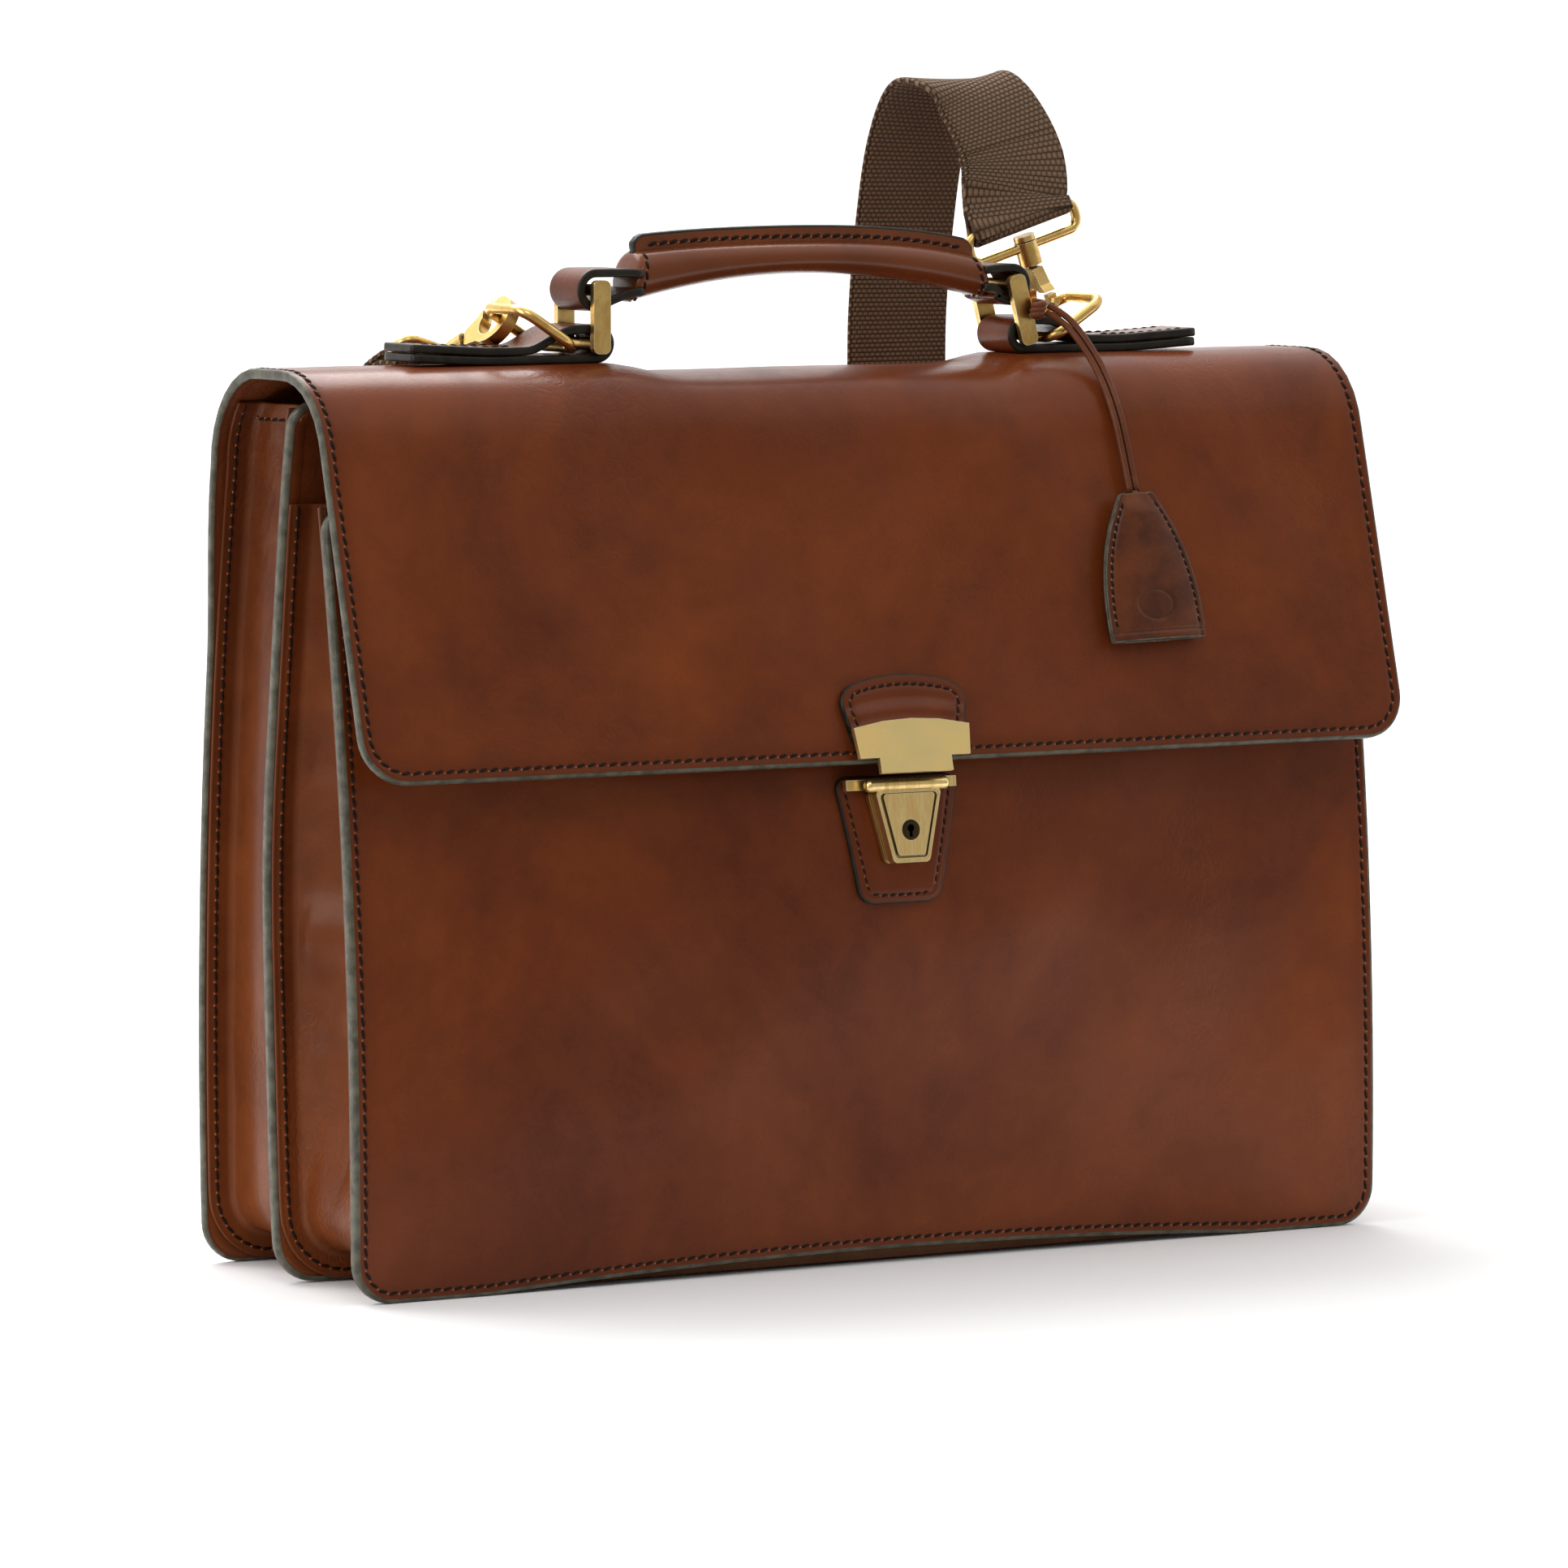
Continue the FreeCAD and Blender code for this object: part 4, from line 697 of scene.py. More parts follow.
# %% [markdown]
# Real leather is never a perfect sheet. The top sags a few millimetres between the two tabs, the leaf swells
# forward over the filled bag, broad soft waves break up its reflections, and the thread pulls a shallow groove
# along the edge. All of that is in the shape, so that it shows in the mesh and not only in the shading.

# %% Face of the hide
STITCH_INSET = 3.6 * MM


def stitch_groove(distance, depth=0.3 * MM):
    return -depth * np.exp(-(((distance - STITCH_INSET) / (0.9 * MM)) ** 2))


def hide_half(run):
    """The flap is cut a little wider than the back panel."""
    return HALF + (FLAP_HALF - HALF) * smooth_step(run, BACK_RUN - 0.07, BACK_RUN)


def hide_edge(x, run):
    return edge_distance(x, run, HIDE_LENGTH - run, hide_half(run), PANEL_CORNER, FLAP_CORNER)


def hide_point(x, run, lift=0.0):
    """A point of the hide's face, raised by lift."""
    x, run = np.broadcast_arrays(np.asarray(x, float), np.asarray(run, float))
    y, z = np.interp(run, RUN, SIDE_LINE[:, 0]), np.interp(run, RUN, SIDE_LINE[:, 1])
    step = 1.5 * MM
    tangent_y = np.interp(run + step, RUN, SIDE_LINE[:, 0]) - np.interp(run - step, RUN, SIDE_LINE[:, 0])
    tangent_z = np.interp(run + step, RUN, SIDE_LINE[:, 1]) - np.interp(run - step, RUN, SIDE_LINE[:, 1])
    size = np.hypot(tangent_y, tangent_z)
    out_y, out_z = tangent_z / size, -tangent_y / size
    distance = hide_edge(x, run)
    down = np.clip((run - LEAF_RUN) / LEAF_LENGTH, 0, 1)
    on_top = smooth_step(run, BACK_RUN, FLAT_RUN) * (1 - smooth_step(run, MID_RUN + 8 * MM, LEAF_RUN))
    sag = 3.4 * MM * (1 - smooth_step(np.abs(x), 0.060, 0.082)) * on_top
    swell = 3 * MM * (1 - (x / FLAP_HALF) ** 2) * down**2
    ripple = waves(x, run, 0.10, 11) * 0.45 * MM + waves(x, run, 0.035, 5) * 0.09 * MM
    ripple = ripple * smooth_step(distance, 0, 0.03) * (1 - 0.8 * on_top)
    out = lift + stitch_groove(distance) + ripple
    return np.stack([x, y + out_y * out - swell, z + out_z * out - sag], -1)


def hide_grid(first, last, low, high, rounding):
    places = first + graded(last - first, start=low, end=high)
    if low:
        places = first + corner_rows(places - first, PANEL_CORNER - rounding, last - first)
    if high:
        places = first + corner_rows(places - first, FLAP_CORNER - rounding, last - first, low=False, high=True)
    half = hide_half(places) - rounding
    if low:
        half = half_width(half, places - first, PANEL_CORNER - rounding)
    if high:
        half = half_width(half, last - places, FLAP_CORNER - rounding)
    across = graded(2 * FLAP_HALF) / FLAP_HALF - 1
    x = across[None, :] * half[:, None]
    run = np.broadcast_to(places[:, None], x.shape)
    return hide_point(x, run), hide_edge(x, run)


HIDE_ROUND = 1.0 * MM
grid, edge = hide_grid(HIDE_ROUND, MID_RUN, True, False, HIDE_ROUND)
HIDE_LEATHERS = [COGNAC, EDGE_PAINT, COGNAC_SIDE]
hide_back = leather("back_hide", grid, HIDE_T, HIDE_LEATHERS, HIDE_ROUND, edge, 1, open_end=True)
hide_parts("back_panel", "rear_bend")
grid, edge = hide_grid(MID_RUN, HIDE_LENGTH - HIDE_ROUND, False, True, HIDE_ROUND)
hide_flap = leather("flap_hide", grid, HIDE_T, HIDE_LEATHERS, HIDE_ROUND, edge, 1, open_start=True)
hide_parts("flap_top", "front_bend", "flap_leaf")
for piece, crossing in ((hide_back, FLAP_FOLD), (hide_flap, FLAP_LIFT)):
    bend(piece)
    print(piece.name, "faces", len(piece.data.polygons))

# %% [markdown]
# ## The three stiff panels
# The front panel and the divider are boards with leather on both sides and a thick painted edge. The front one is
# filled out by what the bag holds: it swells in the middle, its foot arches up a little, and small puckers gather
# along the stitching.

# %% Panels
FRONT_TOP_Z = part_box("front_panel")[1].z
DIVIDER_TOP_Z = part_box("divider_panel")[1].z
FRONT_SWELL, FRONT_ARCH, ARCH_HALF = 14 * MM, 5 * MM, 0.75 * HALF
PANEL_ROUND = 1.5 * MM
TOP_CORNER = 9 * MM
plain_front_y = bow(-BACK_FOOT_Y, -37 * MM, FRONT_TOP_Z, -7 * MM)
divider_y = bow(PANEL_T / 2, -11 * MM, DIVIDER_TOP_Z, 13.2 * MM)


def front_face_y(x, z):
    across = np.maximum(0, 1 - (x / (HALF - 8 * MM)) ** 2) ** 2
    return plain_front_y(z) - FRONT_SWELL * across * np.sin(np.pi * z / (FRONT_TOP_Z + 28 * MM)) ** 2


def front_point(x, z, lift=0.0):
    x, z = np.broadcast_arrays(np.asarray(x, float), np.asarray(z, float))
    distance = edge_distance(x, z, FRONT_TOP_Z - z, HALF, PANEL_CORNER, TOP_CORNER)
    arch = FRONT_ARCH * np.maximum(0, 1 - (x / ARCH_HALF) ** 2) * (1 - smooth_step(z, 0, 0.08))
    inside = smooth_step(distance, 4 * MM, 16 * MM)
    pucker = waves(x, z, 0.014, 3) * 0.12 * MM * inside * (1 - smooth_step(distance, 14 * MM, 50 * MM))
    ripple = waves(x, z, 0.08, 21) * 0.5 * MM * smooth_step(distance, 0, 0.04)
    out = lift + stitch_groove(distance) + 0.5 * MM * inside + pucker + ripple
    return np.stack([x, front_face_y(x, z + arch) - out, z + arch], -1)


def divider_point(x, z, lift=0.0):
    x, z = np.broadcast_arrays(np.asarray(x, float), np.asarray(z, float))
    distance = edge_distance(x, z, DIVIDER_TOP_Z - z, HALF, PANEL_CORNER, TOP_CORNER)
    wander = 1.1 * MM * waves(z, x * 0, 0.16, 8, 2) * smooth_step(np.abs(x), 0.1, HALF)
    return np.stack([x, divider_y(z) + lift + stitch_groove(distance) + wander, z], -1)


def panel_grid(point, top_z, rounding):
    length = top_z - 2 * rounding
    rows = corner_rows(graded(length), PANEL_CORNER - rounding, length)
    rows = corner_rows(rows, TOP_CORNER - rounding, length, low=False, high=True)
    half = half_width(HALF - rounding, rows, PANEL_CORNER - rounding)
    half = np.minimum(half, half_width(HALF - rounding, length - rows, TOP_CORNER - rounding))
    across = graded(2 * HALF) / HALF - 1
    x, z = across[None, :] * half[:, None], np.broadcast_to(rows[:, None] + rounding, (len(rows), len(across)))
    return point(x, z), edge_distance(x, z, top_z - z, HALF, PANEL_CORNER, TOP_CORNER)


def panel(name, node, point, top_z, outward):
    grid, edge = panel_grid(point, top_z, PANEL_ROUND)
    piece = leather(name, grid, PANEL_T, HIDE_LEATHERS, PANEL_ROUND, edge, outward)
    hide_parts(node)
    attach(piece, "bag")
    print(piece.name, "faces", len(piece.data.polygons))
    return piece


panel("front_board", "front_panel", front_point, FRONT_TOP_Z, -1)
panel("divider_board", "divider_panel", divider_point, DIVIDER_TOP_Z, 1)

# %% [markdown]
# ## Stitching
# The seams are saddle stitched with thick waxed thread, about six stitches to the inch. Each stitch is a small
# bead of mesh, sunk at its ends, leaning a little across the seam as real saddle stitches do.

# %% Stitches
STITCH_PITCH, STITCH_LENGTH, STITCH_WIDTH = 4.0 * MM, 3.6 * MM, 1.15 * MM


def bead():
    """Points and faces of one stitch, one unit long, wide and high."""
    points, faces, around = [], [], 6
    rings = [(-0.5, 0.25), (-0.36, 0.8), (0.0, 1.0), (0.36, 0.8), (0.5, 0.25)]
    for along, size in rings:
        for k in range(around):
            turn = 2 * math.pi * k / around
            points.append((along, 0.5 * size * math.cos(turn), 0.5 * size * math.sin(turn) - 0.9 * along**2))
    for i in range(len(rings) - 1):
        for k in range(around):
            n = (k + 1) % around
            faces.append((i * around + k, i * around + n, (i + 1) * around + n, (i + 1) * around + k))
    faces += [tuple(range(around))[::-1], tuple((len(rings) - 1) * around + k for k in range(around))]
    return np.array(points), faces


BEAD_POINTS, BEAD_FACES = bead()


def stitches(name, line, out, where, slant=0.28, length=STITCH_LENGTH, width=STITCH_WIDTH, pitch=STITCH_PITCH,
             bumps=True):
    """Stitches along a line on a surface whose outward direction is given at each point. Where the needle went in,
    the leather is pushed up into a small bump, and each bump is coloured lighter as a painted highlight."""
    run = np.concatenate([[0], np.cumsum(np.linalg.norm(np.diff(line, axis=0), axis=1))])
    count = max(2, round(run[-1] / pitch))
    middles = (np.arange(count) + 0.5) * run[-1] / count
    at = np.stack([np.interp(middles, run, line[:, k]) for k in range(3)], 1)
    ahead = np.stack([np.interp(middles + 0.4 * MM, run, line[:, k]) for k in range(3)], 1)
    behind = np.stack([np.interp(middles - 0.4 * MM, run, line[:, k]) for k in range(3)], 1)
    up = unit(np.stack([np.interp(middles, run, out[:, k]) for k in range(3)], 1))
    along = unit(ahead - behind)
    side = np.cross(up, along)
    along = unit(along + side * slant)
    side = np.cross(up, along)
    points = (at[:, None] + BEAD_POINTS[None, :, :1] * along[:, None] * length
              + BEAD_POINTS[None, :, 1:2] * side[:, None] * width
              + (BEAD_POINTS[None, :, 2:] * 0.8 + 0.12) * up[:, None] * width).reshape(-1, 3)
    # Painted highlight: the needle bumps get the lighter leather so that they show as glints.
    if bumps:
        gap = at[:-1] / 2 + at[1:] / 2 - side[:-1] * 0.35 * width
        made = (gap[:, None] + BEAD_POINTS[None, :, :1] * along[:-1, None] * 1.1 * MM
                + BEAD_POINTS[None, :, 1:2] * side[:-1, None] * 0.9 * MM
                + BEAD_POINTS[None, :, 2:] * up[:-1, None] * 0.7 * MM).reshape(-1, 3)
        points = np.concatenate([points, made])
    size = len(BEAD_POINTS)
    total = len(points) // size
    faces = [tuple(k * size + q for q in face) for k in range(total) for face in BEAD_FACES]
    slots = [0] * (count * len(BEAD_FACES)) + [1] * ((total - count) * len(BEAD_FACES))
    piece = as_object(name, points, faces, [THREAD, PAINTED_NEEDLE_HIGHLIGHT], slots)
    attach(piece, where) if isinstance(where, str) else bend(piece)
    print(name, "stitches", count)
    return piece


def out_of(point, first, second):
    """Outward directions of a surface at places on it."""
    return unit(point(first, second, 1 * MM) - point(first, second, 0.0))


def u_path(half, low, high, radius, inset, spacing=1.5 * MM):
    """Down one side of a panel, across its foot and up the other, at a steady distance from the cut edge."""
    side = np.arange(high, low + radius, -spacing)
    turn = np.linspace(0, math.pi / 2, 14)
    reach = radius - inset
    corner_x, corner_z = half - radius + reach * np.cos(turn), low + radius - reach * np.sin(turn)
    foot = np.arange(-(half - radius), half - radius, spacing)
    x = np.concatenate([np.full(len(side), -(half - inset)), -corner_x, foot, corner_x[::-1],
                        np.full(len(side), half - inset)])
    z = np.concatenate([side, corner_z, np.full(len(foot), low + inset), corner_z[::-1], side[::-1]])
    return x, z


def seam(name, point, x, z, where, out=None):
    line = point(x, z, 0.0)
    stitches(name, line, out_of(point, x, z) if out is None else out, where)


x, z = u_path(HALF, 0, FRONT_TOP_Z - 3 * MM, PANEL_CORNER, STITCH_INSET)
seam("front_board_stitches", front_point, x, z, "bag")
x, from_foot = u_path(FLAP_HALF, 0, HIDE_LENGTH - MID_RUN - 1 * MM, FLAP_CORNER, STITCH_INSET)
seam("flap_stitches", hide_point, x, HIDE_LENGTH - from_foot, FLAP_LIFT)
x, run = u_path(HALF, 0, MID_RUN - 1 * MM, PANEL_CORNER, STITCH_INSET)
x = x + np.sign(x) * (hide_half(run) - HALF)
seam("back_stitches", hide_point, x, run, FLAP_FOLD)

# %% [markdown]
# ## Gussets
# A gusset is one long strip of softer leather, bent into a U round the sides and the bottom, sewn along both edges
# to the panels. Between the front panel and the divider it folds inward in a loose pleat; behind the divider it is
# nearly flat. In cross-section it is a flange, a wall and a flange, drawn with a few points that are then rounded
# off by cutting their corners again and again.

# %% Gusset builder
GUSSET_T, FLANGE_INSET, WALL_INSET, TURN_R = 1.6 * MM, 1.6 * MM, 11 * MM, 24 * MM


def cut_corners(points, times):
    """Rounds an open line of points (the last axis but one) by cutting its corners."""
    for _ in range(times):
        first, second = points[..., :-1, :], points[..., 1:, :]
        near, far = 0.75 * first + 0.25 * second, 0.25 * first + 0.75 * second
        middle = np.stack([near, far], -2).reshape(*points.shape[:-2], -1, points.shape[-1])
        points = np.concatenate([points[..., :1, :], middle, points[..., -1:, :]], -2)
    return points


def u_stations(top_z, spacing=2.5 * MM):
    """Where the U of a gusset runs: a middle line and an outward direction, in x and z, and how far down it is."""
    side = np.arange(top_z, TURN_R, -spacing)
    turn = np.linspace(0, math.pi / 2, 12)[1:-1]
    foot = np.arange(-(HALF - TURN_R), HALF - TURN_R + 1e-9, 2 * spacing)
    centre = HALF - TURN_R
    left = np.stack([np.full(len(side), -HALF), side, -np.ones(len(side)), np.zeros(len(side))], 1)
    arc = np.stack([-centre - TURN_R * np.cos(turn), TURN_R - TURN_R * np.sin(turn), -np.cos(turn), -np.sin(turn)], 1)
    base = np.stack([foot, np.zeros(len(foot)), np.zeros(len(foot)), -np.ones(len(foot))], 1)
    flip = np.array([-1, 1, -1, 1])
    return np.concatenate([left, arc, base, arc[::-1] * flip, left[::-1] * flip])


def gusset(name, node, front_face, rear_face, top_z, section, wrinkle, crumple, seed):
    """front_face and rear_face give the two panels' y at (x, z). section gives, for a height and the room between
    the panels, the cut's points as (inset, share of the room)."""
    stations = u_stations(top_z)
    rows = []
    for k, (x, z, out_x, out_z) in enumerate(stations):
        cut = cut_corners(section(z, x), 3)
        px, pz = x - out_x * cut[:, 0], z - out_z * cut[:, 0]
        low, high = front_face(px, pz), rear_face(px, pz)
        along = low + GUSSET_T + (high - low - 2 * GUSSET_T) * cut[:, 1]
        soft = smooth_step(cut[:, 0], 9 * MM, 13 * MM)
        place = pz if abs(out_x) > 0.7 else px
        push = waves(place, along, 0.03, seed) * wrinkle * soft
        push = push + waves(place, along, 0.0075, seed + 1, 3) * crumple * soft * smooth_step(z, 0.13, 0.24)
        rows.append(np.stack([px - out_x * push, along, pz - out_z * push], 1))
    grid = np.array(rows)
    middle = grid.shape[1] // 2
    normal = np.cross(grid[6, middle] - grid[4, middle], grid[5, middle + 1] - grid[5, middle - 1])
    edge = np.full(grid.shape[:2], 30 * MM)
    edge[:, :6] = edge[:, -6:] = 3 * MM
    piece = leather(name, grid, GUSSET_T - 0.1 * MM, [COGNAC_SIDE, COGNAC_SIDE, FLESH], 0.5 * MM, edge,
                    -1 if normal[0] > 0 else 1)
    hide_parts(node)
    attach(piece, "bag")
    print(name, "faces", len(piece.data.polygons))
    return grid


def rear_section(z, x):
    """Nearly flat, with a slight swell outward and a shallow fold near the top."""
    fold = 5 * MM * smooth_step(z, 0.19, BEND_Z)
    wall = WALL_INSET
    return np.array([(FLANGE_INSET, 0), (6 * MM, 0), (9 * MM, 0), (wall, 0.06), (wall - 1 * MM + fold * 0.3, 0.28),
                     (wall - 1.5 * MM + fold, 0.5), (wall - 1 * MM + fold * 0.3, 0.72), (wall, 0.94), (9 * MM, 1),
                     (6 * MM, 1), (FLANGE_INSET, 1)])


def front_section(z, x):
    """A pleat folded inward; its crease wanders, and it dies out above the bottom corners."""
    deep = 13 * MM * smooth_step(z, 0.022, 0.075) * (abs(x) > HALF - TURN_R / 2)
    wander = 0.07 * float(waves(np.array(z), np.array(0.0), 0.075, 31 if x < 0 else 37, 2))
    wall = WALL_INSET
    return np.array([(FLANGE_INSET, 0), (6 * MM, 0), (9 * MM, 0), (wall, 0.07), (wall + 0.55 * deep, 0.28 + wander),
                     (wall + deep, 0.5 + wander), (wall + deep, 0.55 + wander), (wall + 0.45 * deep, 0.8),
                     (wall, 0.94), (9 * MM, 1), (6 * MM, 1), (FLANGE_INSET, 1)])


def hide_inside_y(x, z):
    """The inner face of the back panel and of the rear bend above it."""
    lift = np.clip((z - BEND_Z) / (REAR_BEND_R - HIDE_T), 0, 1)
    bend_y = FLAT_REAR_Y + (REAR_BEND_R - HIDE_T) * np.sqrt(1 - lift**2)
    return np.where(z > BEND_Z, bend_y, back_y(np.minimum(z, BEND_Z), -HIDE_T)) - 0.4 * MM


REAR_TOP, FRONT_GUSSET_TOP = TOP_Z - 13 * MM, FRONT_TOP_Z - 1 * MM
rear_grid = gusset("rear_gusset_leather", "rear_gusset", lambda x, z: divider_point(x, z)[..., 1] + 0.2 * MM,
                   hide_inside_y, REAR_TOP, rear_section, 0.35 * MM, 0.22 * MM, 41)
front_grid = gusset("front_gusset_leather", "front_gusset",
                    lambda x, z: front_face_y(x, z) + PANEL_T + 0.6 * MM,
                    lambda x, z: divider_point(x, z)[..., 1] - PANEL_T - 0.2 * MM,
                    FRONT_GUSSET_TOP, front_section, 0.8 * MM, 0.06 * MM, 43)

# %% [markdown]
# The rear gusset carries a row of stitches on each flange, beside the panel it is sewn to, and a hem row across
# each top end; the front gusset carries one row, beside the divider.

# %% Gusset stitches and lining
def gusset_seam(name, grid, column, facing):
    line = grid[:, column]
    stitches(name, line, np.broadcast_to(np.array(facing, float), line.shape), "bag", slant=0.15)


gusset_seam("rear_gusset_back_stitches", rear_grid, -9, (0, -1, 0))
gusset_seam("rear_gusset_divider_stitches", rear_grid, 8, (0, 1, 0))
gusset_seam("front_gusset_divider_stitches", front_grid, -9, (0, -1, 0))
for end, side in ((2, -1), (-3, 1)):
    row = rear_grid[end, 12:-12]
    stitches("rear_gusset_hem_" + ("left" if side < 0 else "right"), row,
             np.broadcast_to([float(side), 0, 0], row.shape), "bag", slant=0.15)

LINING_ROUND, POCKET_ROUND = 0.4 * MM, 0.5 * MM


def flat_sheet(name, node, point, half, low, high, radius, thickness, rounding, outward):
    """A plain rounded rectangle of leather inside the bag."""
    rows = corner_rows(graded(high - low - 2 * rounding, 12 * MM), radius, high - low - 2 * rounding)
    wide = half_width(half - rounding, rows, radius)
    across = graded(2 * half, 12 * MM) / half - 1
    x, z = across[None, :] * wide[:, None], np.broadcast_to(rows[:, None] + low + rounding, (len(rows), len(across)))
    piece = leather(name, point(x, z), thickness, [SUEDE, FLESH, SUEDE], rounding, None, outward)
    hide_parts(node)
    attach(piece, "bag")
    print(name, "faces", len(piece.data.polygons))


INSIDE_HALF = HALF - WALL_INSET - GUSSET_T - 1 * MM
flat_sheet("lining_suede_sheet", "back_lining",
           lambda x, z: np.stack([x, hide_inside_y(x, z) - 1.1 * MM, z], -1),
           INSIDE_HALF, HALF - INSIDE_HALF, BEND_Z - 2 * MM, 4 * MM, 0.9 * MM, LINING_ROUND, -1)
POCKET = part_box("slip_pocket")
flat_sheet("pocket_leather", "slip_pocket",
           lambda x, z: divider_point(x, z) - np.array([0, PANEL_T + 1.5 * MM, 0]),
           POCKET[1].x, POCKET[0].z, POCKET[1].z, 8 * MM, 1.4 * MM, POCKET_ROUND, -1)

# %% [markdown]
# ## Tabs and handle
# Each tab is one strip folded round the rings' bars, both of its layers sewn flat on the flap. A strip like this is
# drawn from its side line, then given its width.

# %% Strips of leather
def through(points, spacing=1.0 * MM):
    """A smooth line that passes through the points."""
    points = np.asarray(points, float)
    padded = np.concatenate([2 * points[:1] - points[1:2], points, 2 * points[-1:] - points[-2:-1]])
    made = []
    for k in range(1, len(padded) - 2):
        a, b, c, d = padded[k - 1 : k + 3]
        t = np.linspace(0, 1, max(2, round(np.linalg.norm(c - b) / spacing) + 1))[:-1, None]
        made.append(0.5 * (2 * b + (c - a) * t + (2 * a - 5 * b + 4 * c - d) * t**2
                           + (3 * b - a - 3 * c + d) * t**3))
    return np.concatenate(made + [points[-1:]])


def arc_xz(centre, radius, start, end, count=16):
    """Points on an arc seen from the front, angles in degrees from +X towards +Z."""
    turn = np.radians(np.linspace(start, end, count))
    return np.stack([centre[0] + radius * np.cos(turn), centre[1] + radius * np.sin(turn)], 1)


def strip(name, side_line, y_low, y_high, thickness, materials, outward, rounding=0.8 * MM):
    """A strip whose face follows a line of (x, z) places."""
    across = np.array([0, 0.8, 1.6, 2.4, 3.2, 4.2]) * MM
    width = y_high - y_low - 2 * rounding
    across = np.concatenate([across, np.linspace(across[-1], width - across[-1], 5)[1:-1], width - across[::-1]])
    y = y_low + rounding + across
    shape = (len(side_line), len(y))
    grid = np.stack([np.broadcast_to(side_line[:, :1], shape), np.broadcast_to(y, shape),
                     np.broadcast_to(side_line[:, 1:], shape)], -1)
    edge = np.minimum(grid[..., 1] - y_low, y_high - grid[..., 1])
    return leather(name, grid, thickness, materials, rounding, edge, outward)


TAB_T, TAB_LAYER_GAP, HARDWARE_Y = 3 * MM, 0.1 * MM, -1 * MM
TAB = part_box("tab_right")
FOLD_X = TAB[0].x + 6.5 * MM
FOLD_Z = TOP_Z + 6.5 * MM


def tab_line():
    """Face of the right tab: over the top layer, round the fold and back underneath."""
    lift = 1.6 * MM
    end = TAB[1].x - 0.8 * MM
    top = TOP_Z + 2 * TAB_T + TAB_LAYER_GAP
    over = through([(end, top + lift), (end - 14 * MM, top + 0.5 * lift), (end - 28 * MM, top), (0.114, top),
                    (0.108, top + 0.6 * MM), (0.098, top + 5.6 * MM), (0.093, TOP_Z + 12.8 * MM),
                    (FOLD_X, TOP_Z + 13 * MM)], 2 * MM)
    fold = arc_xz((FOLD_X, FOLD_Z), 6.5 * MM, 90, 270)[1:]
    under = through([(FOLD_X, TOP_Z), (0.114, TOP_Z), (end - 28 * MM, TOP_Z),
                     (end - 14 * MM, TOP_Z + 0.4 * lift), (end, TOP_Z + 0.9 * lift)], 3 * MM)[1:]
    return np.concatenate([over, fold, under])


TAB_LINE = tab_line()
for side, name in ((-1, "left"), (1, "right")):
    line = TAB_LINE * np.array([side, 1])
    tab = strip("tab_" + name + "_leather", line, TAB[0].y, TAB[1].y, TAB_T, [COGNAC, BLACK_EDGE, COGNAC_SIDE],
                -side)
    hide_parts("tab_" + name)
    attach(tab, "flap_top")
    top = TOP_Z + 2 * TAB_T + TAB_LAYER_GAP
    x = np.arange(0.116, TAB[1].x - 3.4 * MM, 1 * MM)
    z = top + 1.6 * MM * np.clip((x - 0.127) / 0.027, 0, 1) ** 1.3
    for y in (TAB[0].y + 3 * MM, TAB[1].y - 3 * MM):
        row = np.stack([x * side, np.full(len(x), y), z], 1)
        stitches(f"tab_{name}_stitches_{'near' if y < 0 else 'far'}", row,
                 np.broadcast_to([0.0, 0, 1], row.shape), "flap_top")
    print(tab.name, "faces", len(tab.data.polygons))

# %% [markdown]
# The handle is leather wrapped round a cord core and sewn together along its top, so a painted fin of two edges
# stands up there. Each end swallows a strip that is folded round the ring's upper bar.

# %% Handle grip
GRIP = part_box("handle_grip")
GRIP_LEFT, GRIP_RIGHT = GRIP[0].x, GRIP[1].x
GRIP_FOOT_LEFT, GRIP_FOOT_RIGHT = 325.5 * MM, 324.93 * MM
GRIP_HALF_Y = (GRIP[1].y - GRIP[0].y) / 2
GRIP_RISE, GRIP_MID, GRIP_END, FIN = 9.5 * MM, 13.5 * MM, 20 * MM, 5.2 * MM


def grip_heights(share):
    """Underside and top of the grip, for a share of its length."""
    hump = 1 - (2 * share - 1) ** 2
    under = GRIP_FOOT_LEFT + (GRIP_FOOT_RIGHT - GRIP_FOOT_LEFT) * share + GRIP_RISE * hump
    over = under + GRIP_END - 3 * MM * share * (1 - hump) + (GRIP_MID - GRIP_END + 1.5 * MM * (1 - hump)) * hump
    return under, over - 2.6 * MM


def grip_point(share, turn, grow=0.0):
    """A point of the grip's skin; turn runs round the section from the top."""
    under, over = grip_heights(share)
    half_z = (over - under) / 2 + grow
    half_y = GRIP_HALF_Y - 1.2 * MM * (1 - (2 * share - 1) ** 6) + grow
    up = np.sign(np.cos(turn)) * np.abs(np.cos(turn)) ** 0.8
    out = np.sign(np.sin(turn)) * np.abs(np.sin(turn)) ** 0.8
    keel = 1 - 0.1 * np.clip(up, 0, 1) - 0.22 * np.clip(-up, 0, 1) ** 2
    z = (over + under) / 2 + up * half_z
    lean = 3 * MM * (up + 1) / 2
    x = GRIP_LEFT + lean + (GRIP_RIGHT - GRIP_LEFT - 2 * lean) * share
    return np.stack(np.broadcast_arrays(x, HARDWARE_Y - out * half_y * keel, z), -1)


